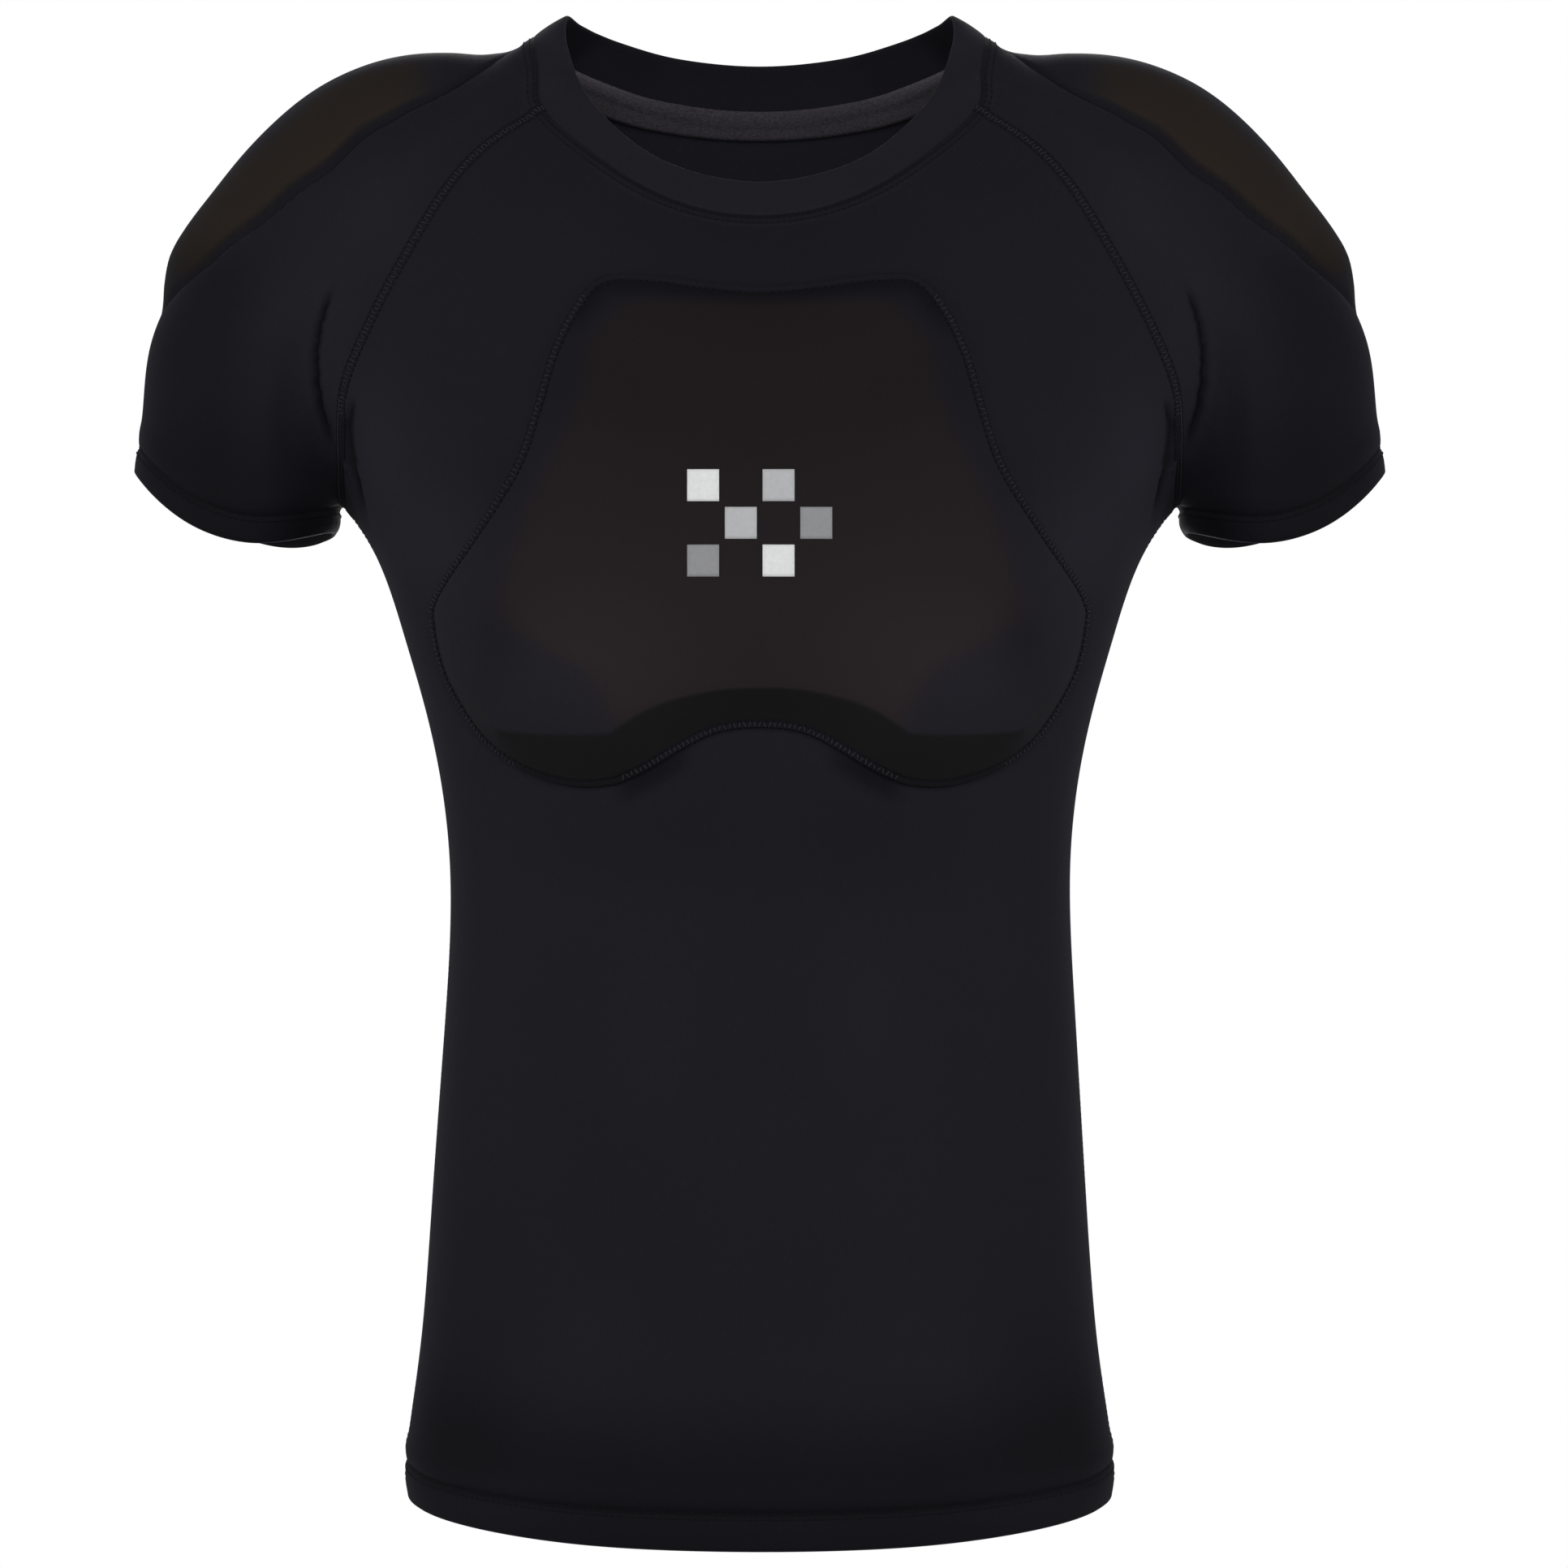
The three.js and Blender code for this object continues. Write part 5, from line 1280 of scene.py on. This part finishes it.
body_faces = (T == FRONT) | (T == BACK)
near_hem = body_faces & (to_hem[Q].min(1) < 40)
for h in (HEM_DEPTH - 2.6, HEM_DEPTH + 0.2):
    P = resample(level_line(None, to_hem, h, on_all, near_hem), 2.9, closed=True)
    threads.append(stitch_row(P, on_all, 0.0, 2.9, 2.3, 0.25, closed=True, lift=0.1))
for side in (LEFT, RIGHT):
    near_cuff = (T == side) & (to_cuff[Q].min(1) < 40)
    for h in (CUFF_DEPTH - 2.6, CUFF_DEPTH + 0.2):
        P = resample(level_line(None, to_cuff, h, on_all, near_cuff), 2.9, closed=True)
        threads.append(stitch_row(P, on_all, 0.0, 2.9, 2.3, 0.25, closed=True, lift=0.1))
# two rows of topstitching below the neckband
neck_line = OUT[neck]
for off in (2.0, 4.8):
    P = []
    for i in range(len(neck)):
        tdir = unit(neck_line[(i + 1) % len(neck)] - neck_line[i - 1])
        down = unit(np.cross(M[neck[i]], tdir))
        if (down @ (V[neck[i]] - band_top[i])) < 0:
            down = -down
        P.append(on_all.near(neck_line[i] + down * off)[0])
    P = np.array(P)
    for _ in range(8):
        P = 0.5 * P + 0.25 * (np.roll(P, 1, 0) + np.roll(P, -1, 0))
    threads.append(stitch_row(P, on_all, 0.0, 2.6, 2.1, 0.21, closed=True, lift=0.08))
pts, faces = join(threads)
thread_ob = new_object("stitches", pts, faces, mat_thread)
pts, faces = join(crossing)
crossing_ob = new_object("flatlock_threads", pts, faces, mat_thread_light)

# ---------------------------------------------------------------- a plain checked print in the middle of the chest
CELL, GAP = 13.2, 2.4
PRINT_CENTRE = (0, -216.5)
cells = {0: ([], []), 1: ([], []), 2: ([], [])}
tones = [[0, None, 1, None], [None, 1, None, 2], [2, None, 0, None]]
for r in range(3):
    for c in range(4):
        tone = tones[r][c]
        if tone is None:
            continue
        cx = PRINT_CENTRE[0] + (c - 1.5) * (CELL + GAP)
        cz = PRINT_CENTRE[1] + (1 - r) * (CELL + GAP)
        k = 8
        pts, faces = cells[tone]
        base = len(pts)
        for layer in (0.28, 0.02):
            for i in range(k + 1):
                for j in range(k + 1):
                    x, z = cx + (i / k - 0.5) * CELL, cz + (j / k - 0.5) * CELL
                    hit, m, _, _ = on_sewn.tree.ray_cast(Vector((x, -400, z)), Vector((0, 1, 0)))
                    pts.append(np.array(hit) + np.array([0, -1, 0]) * layer)
        n1 = (k + 1) ** 2
        for i in range(k):
            for j in range(k):
                a = base + i * (k + 1) + j
                faces.append((a, a + k + 1, a + k + 2, a + 1))
        ringp = [i * (k + 1) for i in range(k + 1)] + [k * (k + 1) + j for j in range(1, k + 1)] + [i * (k + 1) + k for i in range(k - 1, -1, -1)] + [j for j in range(k - 1, 0, -1)]
        for i in range(len(ringp)):
            a, b = base + ringp[i], base + ringp[(i + 1) % len(ringp)]
            faces.append((b, a, a + n1, b + n1))
for tone, (pts, faces) in cells.items():
    ob = new_object("print_%s" % ("white", "light", "mid")[tone], pts, faces, (mat_print_a, mat_print_b, mat_print_c)[tone])

# ---------------------------------------------------------------- floor and light
def stage_plane(name, size, z, colour):
    me = bpy.data.meshes.new(name)
    s = size / 2
    me.from_pydata([(-s, -s, z), (s, -s, z), (s, s, z), (-s, s, z)], [], [(0, 1, 2, 3)])
    ob = bpy.data.objects.new(name, me)
    scene.collection.objects.link(ob)
    m = bpy.data.materials.new(name)
    m.use_nodes = True
    nt = m.node_tree
    nt.nodes.clear()
    out, em = nt.nodes.new("ShaderNodeOutputMaterial"), nt.nodes.new("ShaderNodeEmission")
    em.inputs["Color"].default_value = (*colour, 1)
    nt.links.new(em.outputs["Emission"], out.inputs["Surface"])
    me.materials.append(m)
    ob.visible_diffuse = ob.visible_glossy = ob.visible_shadow = False
    return ob


floor = stage_plane("floor", 14.0, -1.05, (1.0, 1.0, 1.0))

world = bpy.data.worlds.new("world")
scene.world = world
world.use_nodes = True
nt = world.node_tree
nt.nodes.clear()
out = nt.nodes.new("ShaderNodeOutputWorld")
seen, cast = nt.nodes.new("ShaderNodeBackground"), nt.nodes.new("ShaderNodeBackground")
seen.inputs["Color"].default_value = (1, 1, 1, 1)
seen.inputs["Strength"].default_value = 1.0
cast.inputs["Color"].default_value = (0.93, 0.96, 1.0, 1)
cast.inputs["Strength"].default_value = 0.145
path, pick = nt.nodes.new("ShaderNodeLightPath"), nt.nodes.new("ShaderNodeMixShader")
nt.links.new(path.outputs["Is Camera Ray"], pick.inputs["Fac"])
nt.links.new(cast.outputs["Background"], pick.inputs[1])
nt.links.new(seen.outputs["Background"], pick.inputs[2])
nt.links.new(pick.outputs["Shader"], out.inputs["Surface"])


def area_light(name, place, target, size, size_y, power, colour=(1, 1, 1)):
    data = bpy.data.lights.new(name, "AREA")
    data.shape = "RECTANGLE"
    data.size, data.size_y, data.energy, data.color = size, size_y, power, colour
    ob = bpy.data.objects.new(name, data)
    scene.collection.objects.link(ob)
    ob.location = place
    ob.rotation_euler = (Vector(target) - Vector(place)).to_track_quat("-Z", "Y").to_euler()
    ob.visible_camera = False
    return ob


MIDDLE = (0, 0, -0.32)
area_light("front", (0.0, -3.0, -0.3), MIDDLE, 2.2, 2.2, 23)
area_light("front_high", (0.0, -2.6, 1.3), MIDDLE, 2.2, 1.4, 31)
for name, way in (("left", -1), ("right", 1)):
    area_light("front_" + name, (2.4 * way, -1.4, -0.3), MIDDLE, 0.8, 1.6, 12)
    area_light("side_" + name, (2.4 * way, -0.5, -0.3), MIDDLE, 1.0, 2.0, 6)
    area_light("low_" + name, (1.8 * way, -0.6, -1.3), MIDDLE, 0.9, 0.9, 4.5)
area_light("back", (0.0, 3.0, -0.3), MIDDLE, 1.0, 2.2, 22)
area_light("back_high", (0.0, 2.6, 1.3), MIDDLE, 1.0, 1.2, 20)

scene.view_settings.view_transform = "Standard"
scene.view_settings.look = "None"
scene.view_settings.exposure = 0.0
scene.view_settings.gamma = 1.0

bpy.context.view_layer.update()
for ob in bpy.data.objects:
    if ob.type == "MESH":
        ob.data.calc_loop_triangles()
        print("TRIS", ob.name, len(ob.data.loop_triangles))
